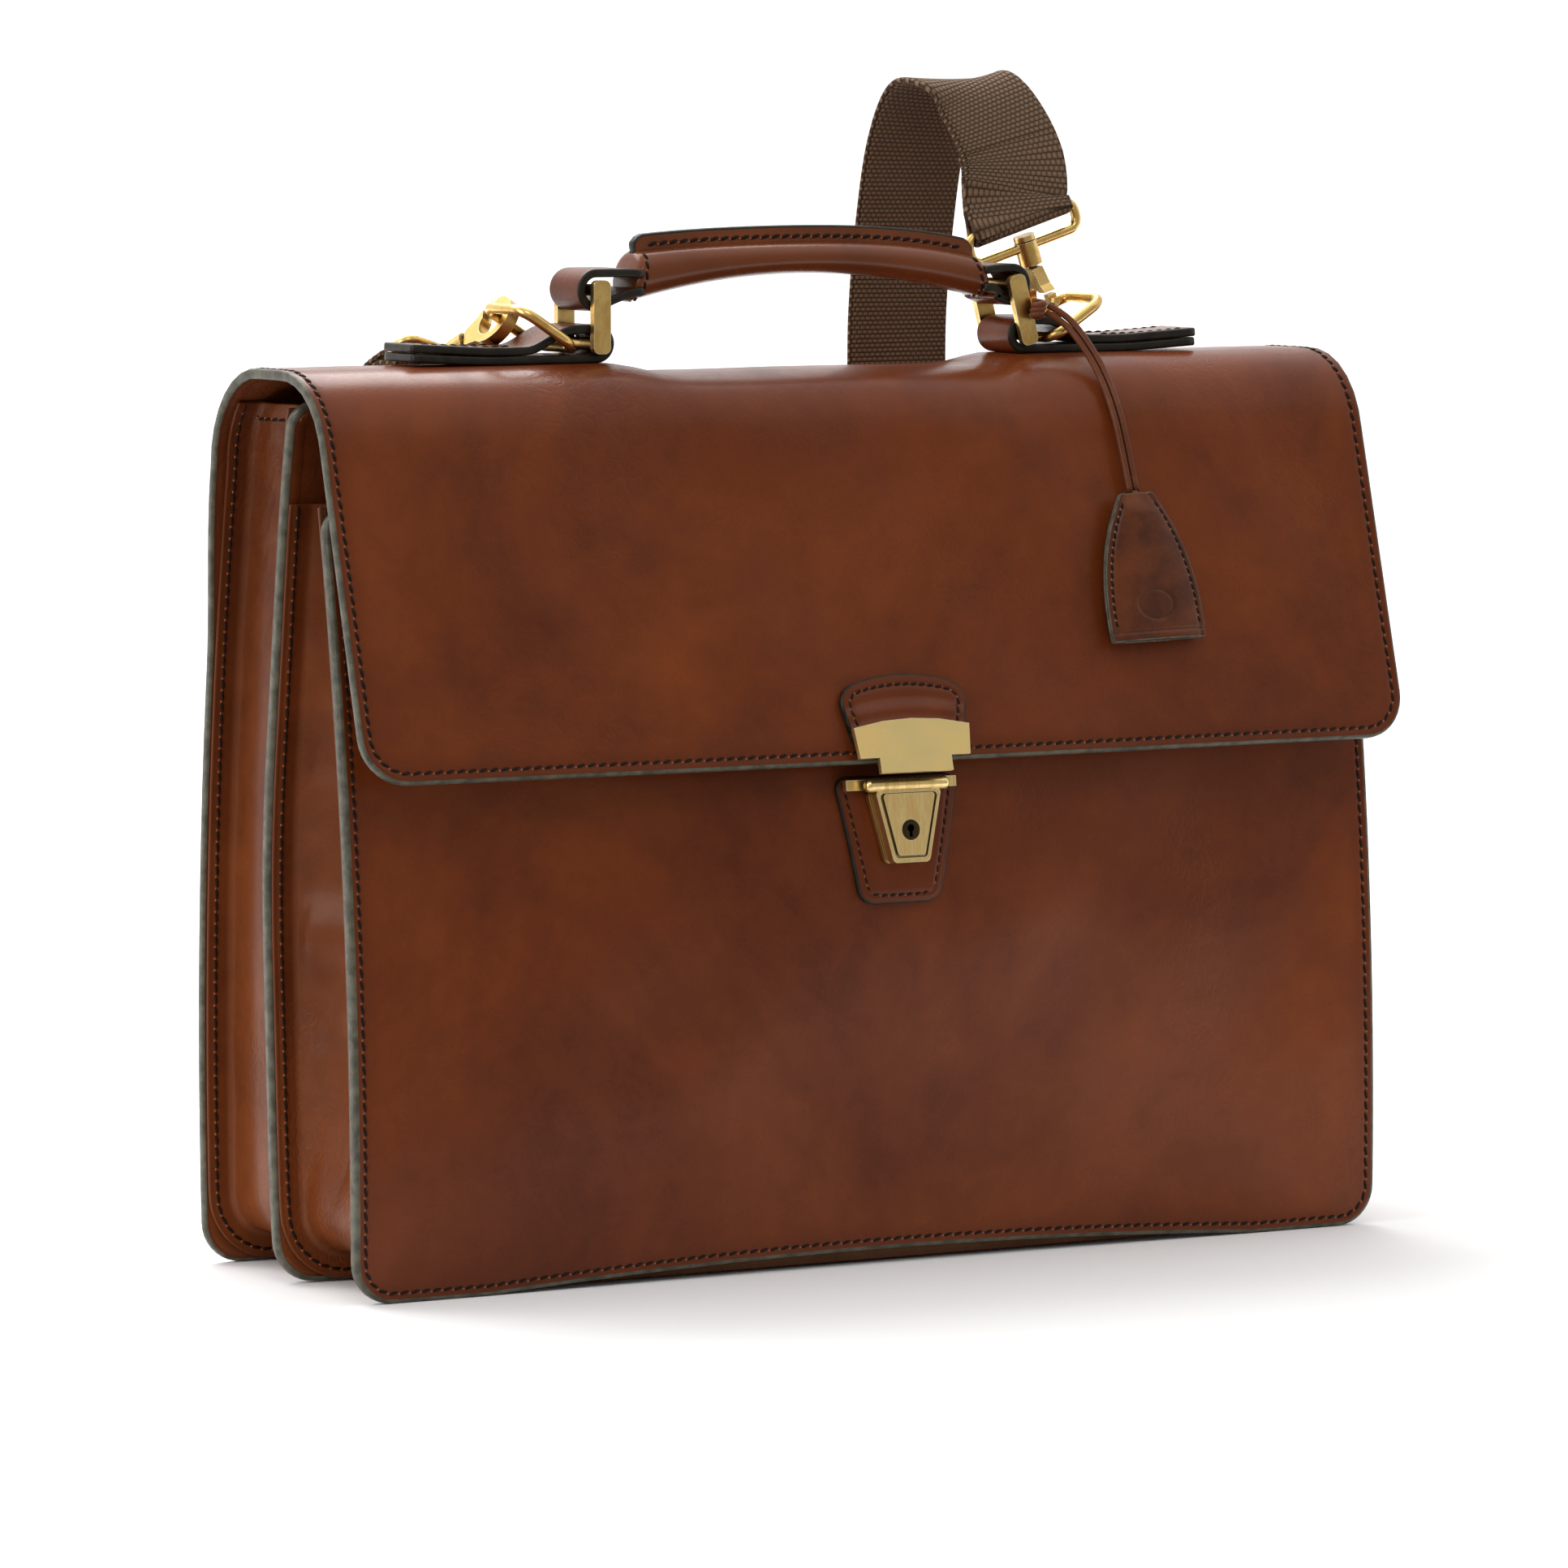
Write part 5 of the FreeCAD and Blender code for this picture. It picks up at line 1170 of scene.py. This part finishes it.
def grip_mesh():
    stations = np.concatenate([[0.002, 0.006], np.linspace(0.014, 0.986, 90), [0.994, 0.998]])
    shrink = np.concatenate([[-2.2, -0.8], np.zeros(90), [-0.8, -2.2]]) * MM
    around = np.linspace(0, 2 * math.pi, 48, endpoint=False)
    rings = np.array([grip_point(s, around, g) for s, g in zip(stations, shrink)])
    points = np.concatenate([rings.reshape(-1, 3), [rings[0].mean(0)], [rings[-1].mean(0)]])
    count, size, faces = len(stations), len(around), []
    for i in range(count - 1):
        for j in range(size):
            n = (j + 1) % size
            faces.append((i * size + j, i * size + n, (i + 1) * size + n, (i + 1) * size + j))
    for j in range(size):
        n = (j + 1) % size
        faces += [(count * size, n, j), (count * size + 1, (count - 1) * size + j, (count - 1) * size + n)]
    return as_object("grip_leather", points, faces, [GRIP_LEATHER])


grip = grip_mesh()
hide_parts("handle_grip")

share = np.linspace(0.014, 0.986, 90)
low = grip_point(share, 0.0)[:, 2] - 1.5 * MM
ends = np.clip(np.minimum(share - 0.014, 0.986 - share) / 0.02, 0, 1) ** 0.5
rise = (0.6 + 0.4 * ends) * FIN
fin_x = grip_point(share, 0.0)[:, 0]
levels = np.linspace(0, 1, 7)
fin_grid = np.stack([np.broadcast_to(fin_x, (7, 90)), np.full((7, 90), HARDWARE_Y - 1.9 * MM),
                     low + levels[:, None] * (rise + 1 * MM)], -1)
fin_grid[1:4, :, 1] -= np.array([0.05, 0.25, 0.1])[:, None] * MM
fin = leather("grip_fin", fin_grid, 3.8 * MM, [GRIP_LEATHER, BLACK_EDGE, GRIP_LEATHER], 0.9 * MM,
              np.broadcast_to((1 - levels[:, None]) * FIN, (7, 90)), -1)
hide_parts("handle_seam")

seams = []
for side, name in ((-1, "near"), (1, "far")):
    row = np.stack([fin_x, np.full(90, HARDWARE_Y + side * 2.2 * MM), low + 3.4 * MM], 1)[3:-3]
    seams.append(stitches("grip_seam_" + name, row, np.broadcast_to([0.0, side, 0.1], row.shape), "handle"))
turn = np.linspace(0.5, 2 * math.pi - 0.5, 70)
for s, name in ((0.026, "left"), (0.974, "right")):
    row = grip_point(s, turn)
    seams.append(stitches("grip_end_" + name, row, unit(row - row.mean(0)), "handle", pitch=3.6 * MM,
                          length=3.0 * MM))
for piece in [grip, fin]:
    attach(piece, "handle")
print("grip faces", len(grip.data.polygons))

# %% Tongues round the rings' upper bars
TONGUE_T, TONGUE_R = 3 * MM, 7.2 * MM
BARS = {"left": (-84.0 * MM, 330.5 * MM, 1, GRIP_LEFT), "right": (79.52 * MM, 329.93 * MM, -1, GRIP_RIGHT)}
for name, (bar_x, bar_z, way, grip_x) in BARS.items():
    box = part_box("tongue_" + name)
    inside = grip_x + way * 3.2 * MM
    upper = np.array([(inside, bar_z + 6.6 * MM), (grip_x - way * 2 * MM, bar_z + 7.1 * MM)])
    loop = arc_xz((bar_x, bar_z), TONGUE_R, 90 - way * 0, 90 + way * 200, 26)
    lower = np.array([(bar_x + way * 7.5 * MM, bar_z - 4.6 * MM), (grip_x - way * 0.5 * MM, bar_z - 2.6 * MM),
                      (inside, bar_z - 2.2 * MM)])
    line = through(np.concatenate([upper, loop, lower]), 1.2 * MM)
    tongue = strip("tongue_" + name + "_leather", line, box[0].y, box[1].y, TONGUE_T - 0.1 * MM,
                   [COGNAC, BLACK_EDGE, COGNAC_SIDE], -way)
    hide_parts("tongue_" + name)
    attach(tongue, "handle")
    print(tongue.name, "faces", len(tongue.data.polygons))

# %% [markdown]
# ## Shoulder strap
# The webbing is one flat band. It is folded round the bar of each wire loop and sewn back on itself, arches over to
# the back, and hangs down there in a long loop with a half turn on each side. The band is drawn from a middle line
# and a direction for its width at each place.

# %% Webbing band
STRAP_WIDTH, STRAP_T = 40 * MM, 2.2 * MM


def band(name, line, wide, start_run=0.0, cup=0.0):
    """A band of webbing with rounded selvedges, mapped across and along in metres."""
    along = unit(np.gradient(line, axis=0))
    wide = unit(wide - along * np.sum(wide * along, axis=1, keepdims=True))
    face = np.cross(along, wide)
    run = start_run + np.concatenate([[0], np.cumsum(np.linalg.norm(np.diff(line, axis=0), axis=1))])
    half, thick = STRAP_WIDTH / 2, STRAP_T / 2
    across = np.linspace(-half + thick, half - thick, 15)
    turn = np.radians([60, 30, 0, -30, -60])
    section = [(u, thick) for u in across]
    section += [(half - thick + thick * math.cos(a), thick * math.sin(a)) for a in turn]
    section += [(u, -thick) for u in across[::-1]]
    section += [(-half + thick - thick * math.cos(a), -thick * math.sin(a)) for a in turn[::-1]]
    section = np.array(section)
    arch = cup * (1 - (section[:, 0] / half) ** 2)
    points = (line[:, None] + section[None, :, :1] * wide[:, None]
              + (section[:, 1] + arch)[None, :, None] * face[:, None])
    count, size = len(line), len(section)
    faces = [(i * size + j, i * size + (j + 1) % size, (i + 1) * size + (j + 1) % size, (i + 1) * size + j)
             for i in range(count - 1) for j in range(size)]
    faces += [tuple(range(size)), tuple((count - 1) * size + j for j in range(size))[::-1]]
    piece = as_object(name, points.reshape(-1, 3), faces, [WEBBING])
    layer = piece.data.uv_layers.new(name="strap")
    across_and_along = np.array([(section[v % size, 0], run[v // size]) for v in range(len(points.reshape(-1, 3)))])
    corners = np.zeros(len(piece.data.loops), dtype=np.int32)
    piece.data.loops.foreach_get("vertex_index", corners)
    layer.data.foreach_set("uv", across_and_along[corners].ravel())
    print(name, "length", round(run[-1] - start_run, 4))
    return piece


def widths_along(line, places, widths):
    """Width directions for a dense line, from those given at its places."""
    run = np.concatenate([[0], np.cumsum(np.linalg.norm(np.diff(line, axis=0), axis=1))])
    knots = [run[np.argmin(np.linalg.norm(line - np.array(p), axis=1))] for p in places]
    return unit(np.stack([np.interp(run, knots, np.array(widths, float)[:, k]) for k in range(3)], 1))


SWING_Z, BACK_Y = 292.6 * MM, 70 * MM
WIRE_R, WIRE_BAR, SEWN = 1.7 * MM, 30.5 * MM, 24 * MM
X_WAY = (1.0, 0, 0)
ARCHES = {
    "right": dict(
        eye=(105.68, 12.7, 322.43), shank=(-0.3, 0, 0.954), facing=(0, 1, 0), wire="strap_wire_right",
        route=[(95.45, 12.7, 354.96), (97, 18, 374), (91, 28, 393), (86, 37, 399), (83, 48, 396), (81.5, 58, 378),
               (81, 65, 350), (80.5, 69, 320), (80.5, 70, 292.6)],
        wide=[(0.956, 0, 0.292), (0.965, 0.02, 0.2), (0.985, 0.03, 0.1)] + [X_WAY] * 6),
    "left": dict(
        eye=(-108.62, 14.98, 319.35), shank=(-0.398, 0.757, -0.518), facing=(0.2, 0.25, 1), wire="strap_wire_left",
        route=[(-122.2, 40.79, 301.69), (-127.5, 54, 298), (-130.5, 65, 295.8), (-131, 70, 292.6)],
        wide=[(0.887, 0.434, -0.155), (0.97, 0.2, 0)] + [X_WAY] * 2),
}
for name, arch in ARCHES.items():
    shank = unit(np.array(arch["shank"]))
    facing = np.array(arch["facing"], float)
    facing = unit(facing - shank * np.dot(facing, shank))
    bar = np.array(arch["eye"]) * MM + shank * WIRE_BAR
    route = np.array(arch["route"]) * MM
    main = through(route, 1.5 * MM)
    wide = widths_along(main, route, arch["wide"])
    run = np.concatenate([[0], np.cumsum(np.linalg.norm(np.diff(main, axis=0), axis=1))])
    cut = int(np.argmin(np.abs(run - SEWN)))
    face = unit(np.cross(np.gradient(main, axis=0), wide))
    face *= np.sign(np.sum(face[0] * facing))
    doubled = (main + face * (STRAP_T + 0.15 * MM))[2 : cut + 1][::-1]
    reach = WIRE_R + STRAP_T / 2 + 0.1 * MM
    turn = np.radians([60, 90, 120, 150, 180, 210, 240, 270, 300])[:, None] - math.pi / 2
    loop = bar + reach * (np.cos(turn) * facing + np.sin(-turn) * shank)
    fold = through(np.concatenate([doubled[::3], loop, main[3 : cut + 1 : 3], main[cut : cut + 1]]), 0.8 * MM)
    fold_wide = np.broadcast_to(unit(np.cross(shank, facing)), fold.shape).copy()
    nearest = np.array([np.argmin(np.linalg.norm(main[: cut + 1] - p, axis=1)) for p in fold])
    blend = smooth_step(nearest / max(cut, 1), 0.1, 0.6)[:, None]
    sign = np.sign(np.sum(fold_wide[0] * wide[0]))
    fold_wide = fold_wide * sign * (1 - blend) + wide[nearest] * blend
    sewn = band(f"strap_sewn_{name}", fold, fold_wide)
    bend(sewn)
    long = band(f"strap_arch_{name}", main[cut:], wide[cut:], sum(np.linalg.norm(np.diff(fold, axis=0), axis=1)))
    bend(long)
    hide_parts(f"strap_{name}_arch")
    for k, share in enumerate((0.42, 0.92)):
        at = int(cut * share)
        row = main[at] + face[at] * (1.5 * STRAP_T + 0.2 * MM) + wide[at] * np.linspace(-17, 17, 30)[:, None] * MM
        seam_row = stitches(f"strap_seam_{name}_{k}", row, np.broadcast_to(face[at], row.shape), "flap_top",
                            slant=0.05, length=2.6 * MM, width=0.7 * MM, pitch=3.0 * MM, bumps=False)

# %% Hanging length of the strap
DROP_X, RISE_X, TURN_Y, FOOT_Z = 80.5 * MM, -131 * MM, 84 * MM, 34 * MM
drop = [(BACK_Y, SWING_Z, 0), (BACK_Y, 0.215, 0), (BACK_Y + 6 * MM, 0.180, 30), (TURN_Y, 0.145, 60),
        (TURN_Y + 1 * MM, 0.110, 90)]
places = [(DROP_X, y, z) for y, z, twist in drop]
wide = [(math.cos(math.radians(t)), math.sin(math.radians(t)), 0) for y, z, t in drop]
for k in range(1, 8):
    angle = math.pi * k / 8
    places.append(((DROP_X + RISE_X) / 2 + (DROP_X - RISE_X) / 2 * math.cos(angle), TURN_Y + 1 * MM,
                   0.110 - (0.110 - FOOT_Z) * math.sin(angle)))
    wide.append((0, 1, 0))
places += [(RISE_X, y, z) for y, z, twist in drop[::-1]]
wide += [(-math.cos(math.radians(t)), math.sin(math.radians(t)), 0) for y, z, t in drop[::-1]]
line = through(places, 3 * MM)
hanging = band("strap_long", line, widths_along(line, places, wide))
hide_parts("strap_hanging")
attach(hanging, "strap")

# %% [markdown]
# ## Lock patches and key bell
# The lock's two halves sit on padded patches of leather. The patches follow the panel beneath them; they are
# thickest between the stitching and the metal, where the padding can rise.

# %% Patches
PATCH_T = 2.6 * MM


def patch(name, node, rows, half_at, point, pad, where, radius):
    """A patch from rows of height and half width. point gives a place for x, a row's share and a lift."""
    share = np.unique(np.concatenate([graded(rows, 2.5 * MM) / rows, np.linspace(0, radius / rows, 7),
                                      1 - np.linspace(0, radius / rows, 7)]))
    half = half_at(share)
    rounded = half_width(half, np.minimum(share, 1 - share) * rows, radius)
    across = np.linspace(-1, 1, 61)
    across = np.sign(across) * (1 - (1 - np.abs(across)) ** 1.25)
    x = across[None, :] * rounded[:, None]
    s = np.broadcast_to(share[:, None], x.shape)
    distance = edge_distance(x, s * rows, (1 - s) * rows, half[:, None], radius, radius)
    puff = pad * smooth_step(distance, 0, 2.4 * MM) * np.exp(-(((distance - 5 * MM) / (6 * MM)) ** 2))
    groove = -0.35 * MM * np.exp(-(((distance - 2.6 * MM) / (0.7 * MM)) ** 2))
    grid = point(x, s, puff + groove)
    normal = unit(np.cross(grid[5, 31] - grid[5, 30], grid[6, 30] - grid[5, 30]))
    piece = leather(name, grid, PATCH_T, [COGNAC, BLACK_EDGE, FLESH], 0.7 * MM, distance, -1)
    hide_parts(node)
    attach(piece, where)
    inset = 2.4 * MM
    up = np.linspace(0, 1, 60)
    wide = half_width(half_at(up), np.minimum(up, 1 - up) * rows, radius)
    rise = inset / rows + (1 - 2 * inset / rows) * up
    side = np.stack([wide - inset, rise], 1)
    top = np.stack([np.linspace(side[-1, 0], -side[-1, 0], 24)[1:-1], np.full(22, rise[-1])], 1)
    foot = np.stack([np.linspace(-side[0, 0], side[0, 0], 24)[1:-1], np.full(22, rise[0])], 1)
    ring = np.concatenate([side, top, side[::-1] * [-1, 1], foot, side[:1]])
    line = point(ring[:, 0], ring[:, 1], np.full(len(ring), -0.1 * MM))
    stitches(name + "_stitches", line, np.broadcast_to(normal, line.shape), where, pitch=3.2 * MM,
             length=2.9 * MM, width=1.1 * MM)
    print(name, "faces", len(piece.data.polygons))
    return piece


LOWER_FOOT, LOWER_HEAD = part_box("lower_patch")[0].z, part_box("lower_patch")[1].z


def lower_point(x, share, lift):
    z = LOWER_FOOT + (LOWER_HEAD - LOWER_FOOT) * share
    return np.stack([x, front_face_y(x, z) - PATCH_T - 0.1 * MM - lift, z], -1)


def upper_point(x, share, lift):
    crown = 5 * MM * (1 - (x / (25.5 * MM)) ** 2) * share
    z = 176.2 * MM + 19.4 * MM * share + crown
    run = LEAF_RUN + (leaf_top[1] - z) / math.cos(LEAF_TILT)
    return hide_point(x, run, PATCH_T + 0.1 * MM + lift)


patch("lower_patch_leather", "lower_patch", LOWER_HEAD - LOWER_FOOT, lambda s: (15.5 + 8.5 * s) * MM - 0.7 * MM,
      lower_point, 0.5 * MM, "bag", 4.5 * MM)
patch("upper_patch_leather", "upper_patch", 21 * MM, lambda s: (21 + 4.2 * s) * MM - 0.7 * MM, upper_point,
      0.4 * MM, "flap_leaf", 5.5 * MM)

# %% [markdown]
# The key bell is two leaves of darker leather sewn at the sides and open at the foot. Its sides curve like a
# bell's. A creased line runs along the hem, and a plain oval is pressed into the front leaf. It hangs a little
# askew, foot to the right, standing just clear of the leaf.

# %% Key bell
BELL_LENGTH, BELL_TILT, BELL_X, BELL_DOWN, BELL_OUT = 52 * MM, math.radians(1.5), 102.4 * MM, 25.4 * MM, 5 * MM
BELL_T = 1.7 * MM


def on_bell(x, out, down):
    """Places on the bell: across, out of its middle plane and down from its top, set against the leaf."""
    turned_x = x * math.cos(BELL_TILT) + down * math.sin(BELL_TILT)
    turned_down = down * math.cos(BELL_TILT) - x * math.sin(BELL_TILT)
    along = BELL_DOWN + turned_down
    swell = 3 * MM * (1 - (BELL_X / FLAP_HALF) ** 2) * (BELL_DOWN / LEAF_LENGTH) ** 2
    tilt_sin, tilt_cos = math.sin(LEAF_TILT), math.cos(LEAF_TILT)
    reach = BELL_OUT + out
    y = leaf_top[0] - tilt_sin * along - tilt_cos * reach - swell
    z = leaf_top[1] - tilt_cos * along + tilt_sin * reach
    return np.stack(np.broadcast_arrays(BELL_X + turned_x, y, z), -1)


def bell_half(down):
    share = np.clip(down / BELL_LENGTH, 0, 1)
    return (6.4 + 13 * (1 - (1 - share) ** 2.7) - 0.5 * share**6) * MM


def bell_point(across, down, side, lift=0.0):
    """across runs from -1 to 1; side is -1 for the front leaf and 1 for the back one."""
    half = bell_half(down) - 0.6 * MM
    x = across * half
    distance = np.minimum((1 - np.abs(across)) * half + 0.6 * MM, BELL_LENGTH - down + 0.4 * MM)
    dome = 1.2 * MM + 1.6 * MM * (1 - np.abs(across) ** 2.6) * smooth_step(down, 0, 8 * MM)
    groove = -0.3 * MM * np.exp(-((((1 - np.abs(across)) * half - 1.9 * MM) / (0.6 * MM)) ** 2))
    hem = -0.65 * MM * np.exp(-(((BELL_LENGTH - down - 3.4 * MM) / (0.55 * MM)) ** 2))
    oval = np.hypot(x / (7 * MM), (down - 0.76 * BELL_LENGTH) / (5.2 * MM))
    press = -0.45 * MM * np.exp(-(((oval - 1) / 0.08) ** 2)) - 0.12 * MM * smooth_step(-oval, -1.05, -0.95)
    out = dome + groove + (hem + press if side < 0 else 0) + lift
    return on_bell(x, out * -side, down), distance


down = np.linspace(0.6 * MM, BELL_LENGTH - 0.6 * MM, 96)
across = np.linspace(-1, 1, 61)
for side, name in ((-1, "front"), (1, "back")):
    grid, edge = bell_point(across[None, :], down[:, None], side)
    leaf = leather("key_bell_" + name, grid, BELL_T - 0.55 * MM, [BELL_LEATHER, EDGE_PAINT, FLESH], 0.45 * MM, edge,
                   1 if side < 0 else -1)
    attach(leaf, "key_bell")
    if side < 0:
        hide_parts("key_bell")
for side, name in ((-1, "left"), (1, "right")):
    drop = np.linspace(3.5 * MM, BELL_LENGTH - 5 * MM, 60)
    reach = 1 - 1.9 * MM / (bell_half(drop) - 0.6 * MM)
    row = bell_point(side * reach, drop, -1)[0]
    out = unit(bell_point(side * reach, drop, -1, 1 * MM)[0] - row)
    stitches("key_bell_stitches_" + name, row, out, "key_bell", length=2.5 * MM, width=1.0 * MM,
                               pitch=2.9 * MM)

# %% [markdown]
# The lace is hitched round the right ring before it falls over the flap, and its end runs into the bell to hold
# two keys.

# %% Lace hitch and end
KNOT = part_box("lace_knot")
turn = np.linspace(0, 2 * math.pi * 3.4, 140)
climb = turn / turn[-1]
middle = (KNOT[0] + KNOT[1]) / 2
coil = np.stack([middle.x + 1.75 * MM * np.cos(turn) + 1.2 * MM * (climb - 0.5),
                 middle.y + 1.7 * MM * np.sin(turn), KNOT[0].z + 1.2 * MM + 5.6 * MM * climb], 1)
knot = tube("lace_hitch", coil, LACE_RADIUS * 0.95, [LACE_LEATHER], 12)
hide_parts("lace_knot")
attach(knot, "flap_top")
drop = np.linspace(-0.6 * MM, 9.4 * MM, 12)
tail = tube("lace_end", on_bell(0.0, 0.0, drop), LACE_RADIUS * 0.9, [LACE_LEATHER], 12)
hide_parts("lace_tail")
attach(tail, "flap_leaf")

# %% [markdown]
# ## Metal
# The imported metal keeps its own shapes. Its edges are only softened, by a bevel narrow enough for the thinnest
# part, so that they catch the light. The lock's plate is satin, its slide and base are brushed, and the barrel
# round the keyhole is coloured near black, as painted shade for the keyhole's hollow.

# %% Metal parts
METAL = {
    "ring_left": 0.9, "ring_right": 0.9, "d_ring_left": 0.2, "d_ring_right": 0.2, "hook_left": 0.6, "hook_right": 0.6,
    "gate_left": 0.3, "gate_right": 0.3, "strap_wire_left": 0.2, "strap_wire_right": 0.2, "strap_adjuster": 0.4,
    "upper_plate": 0.45, "lock_base": 0.5, "lock_slide": 0.3, "key_rotor": 0.25, "keys": 0.2,
}


def soften(node, width, material):
    piece = bpy.data.objects[node]
    for slot in piece.material_slots:
        slot.material = material
    if not piece.material_slots:
        piece.data.materials.append(material)
    weld = piece.modifiers.new("weld", "WELD")
    weld.merge_threshold = 0.00001
    bevel = piece.modifiers.new("soft edges", "BEVEL")
    bevel.width, bevel.segments, bevel.limit_method = width * MM, 3, "ANGLE"
    bevel.angle_limit = math.radians(32)
    bevel.use_clamp_overlap = True
    normals = piece.modifiers.new("even shading", "WEIGHTED_NORMAL")
    normals.keep_sharp = False
    return piece


for node, width in METAL.items():
    soften(node, width, BRASS)
for node, width in (("lock_screws", 0.3), ("lock_backing", 0.3)):
    soften(node, width, STEEL)
# The key barrel takes the near-black finish that paints the keyhole's shade.
for node, finish in (("lock_base", BRUSHED_BRASS), ("lock_slide", BRUSHED_BRASS), ("upper_plate", PLATE_BRASS),
                     ("key_rotor", KEYHOLE_PAINTED_SHADE)):
    bpy.data.objects[node].material_slots[0].material = finish
print("metal parts", len(METAL) + 2)

# %% [markdown]
# ## Floor and light
# The bag stands on a plain white floor. The light is that of a soft studio: a broad panel above and behind that
# puts a sheen along the flap's top, one from the left that lights the gussets, and a pale room for the rest.

# %% Stage and lights
def floor_material():
    material, tree, surface = shader("white floor", Roughness=0.9)
    place = add(tree, "TexCoord").outputs["Object"]
    tone = noise(tree, place, 3.0, 2.0)
    tree.links.new(mixed(tree, tone, (0.93, 0.93, 0.93, 1), (0.95, 0.95, 0.95, 1)), surface.inputs["Base Color"])
    back = add(tree, "SeparateXYZ", {0: place}).outputs["Y"]
    glow = between_values(tree, back, 0.25, 1.6, 0.0, 0.45)
    tree.links.new(glow, surface.inputs["Emission Strength"])
    surface.inputs["Emission Color"].default_value = (1, 1, 1, 1)
    return material


FLOOR_REACH, FLOOR_FRONT = 30.0, 0.33
mesh = bpy.data.meshes.new("floor")
mesh.from_pydata([(-FLOOR_REACH, -FLOOR_FRONT, 0), (FLOOR_REACH, -FLOOR_FRONT, 0), (FLOOR_REACH, FLOOR_REACH, 0),
                  (-FLOOR_REACH, FLOOR_REACH, 0)], [], [(0, 1, 2, 3)])
mesh.materials.append(floor_material())
floor = bpy.data.objects.new("floor", mesh)
floor.rotation_euler.z = math.radians(CAMERA_AZIMUTH)
bpy.context.scene.collection.objects.link(floor)
floor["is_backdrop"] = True


AIM = Vector((0, 0, 0.17))         # every lamp points at the middle of the bag


def panel_light(name, place, size, power):
    light = bpy.data.lights.new(name, "AREA")
    light.shape, light.size, light.size_y = "RECTANGLE", size[0], size[1]
    light.energy = power
    holder = bpy.data.objects.new(name, light)
    holder.location = place
    holder.rotation_mode = "QUATERNION"
    holder.rotation_quaternion = (AIM - Vector(place)).to_track_quat("-Z", "Y")
    bpy.context.scene.collection.objects.link(holder)


def studio_room():
    """A room that lights the bag white from behind and above and grey from the front. Seen directly, past the
    floor's edge, it is plain white from every side."""
    world = bpy.data.worlds.new("studio room")
    world.use_nodes = True
    tree = world.node_tree
    azimuth = math.radians(CAMERA_AZIMUTH)
    way = add(tree, "TexCoord").outputs["Generated"]
    behind = add(tree, "VectorMath", {0: way, 1: (-math.sin(azimuth), math.cos(azimuth), 0.55)},
                 operation="DOT_PRODUCT").outputs["Value"]
    shade = between_values(tree, behind, -0.25, 0.3)
    colour = mixed(tree, shade, (0.36, 0.345, 0.33, 1), (1, 1, 1, 1))
    seen = add(tree, "LightPath").outputs["Is Camera Ray"]
    colour = mixed(tree, seen, colour, (1, 1, 1, 1))
    background = tree.nodes["Background"]
    tree.links.new(colour, background.inputs["Color"])
    background.inputs["Strength"].default_value = 1.05
    bpy.context.scene.world = world


studio_room()
panel_light("top panel", (-0.1, 0.9, 1.5), (1.9, 1.0), 28)
panel_light("left panel", (-1.9, -0.4, 0.8), (0.9, 1.2), 14)
panel_light("high front panel", (-0.7, -1.5, 1.7), (1.0, 0.8), 7)
bpy.context.scene.view_settings.view_transform = "Standard"

# %% [markdown]
# ## Finish
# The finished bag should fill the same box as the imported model, give or take soft leather and webbing.

# %% Finish
low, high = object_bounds()
print("visual box", [round(v, 4) for v in (*low, *high)])
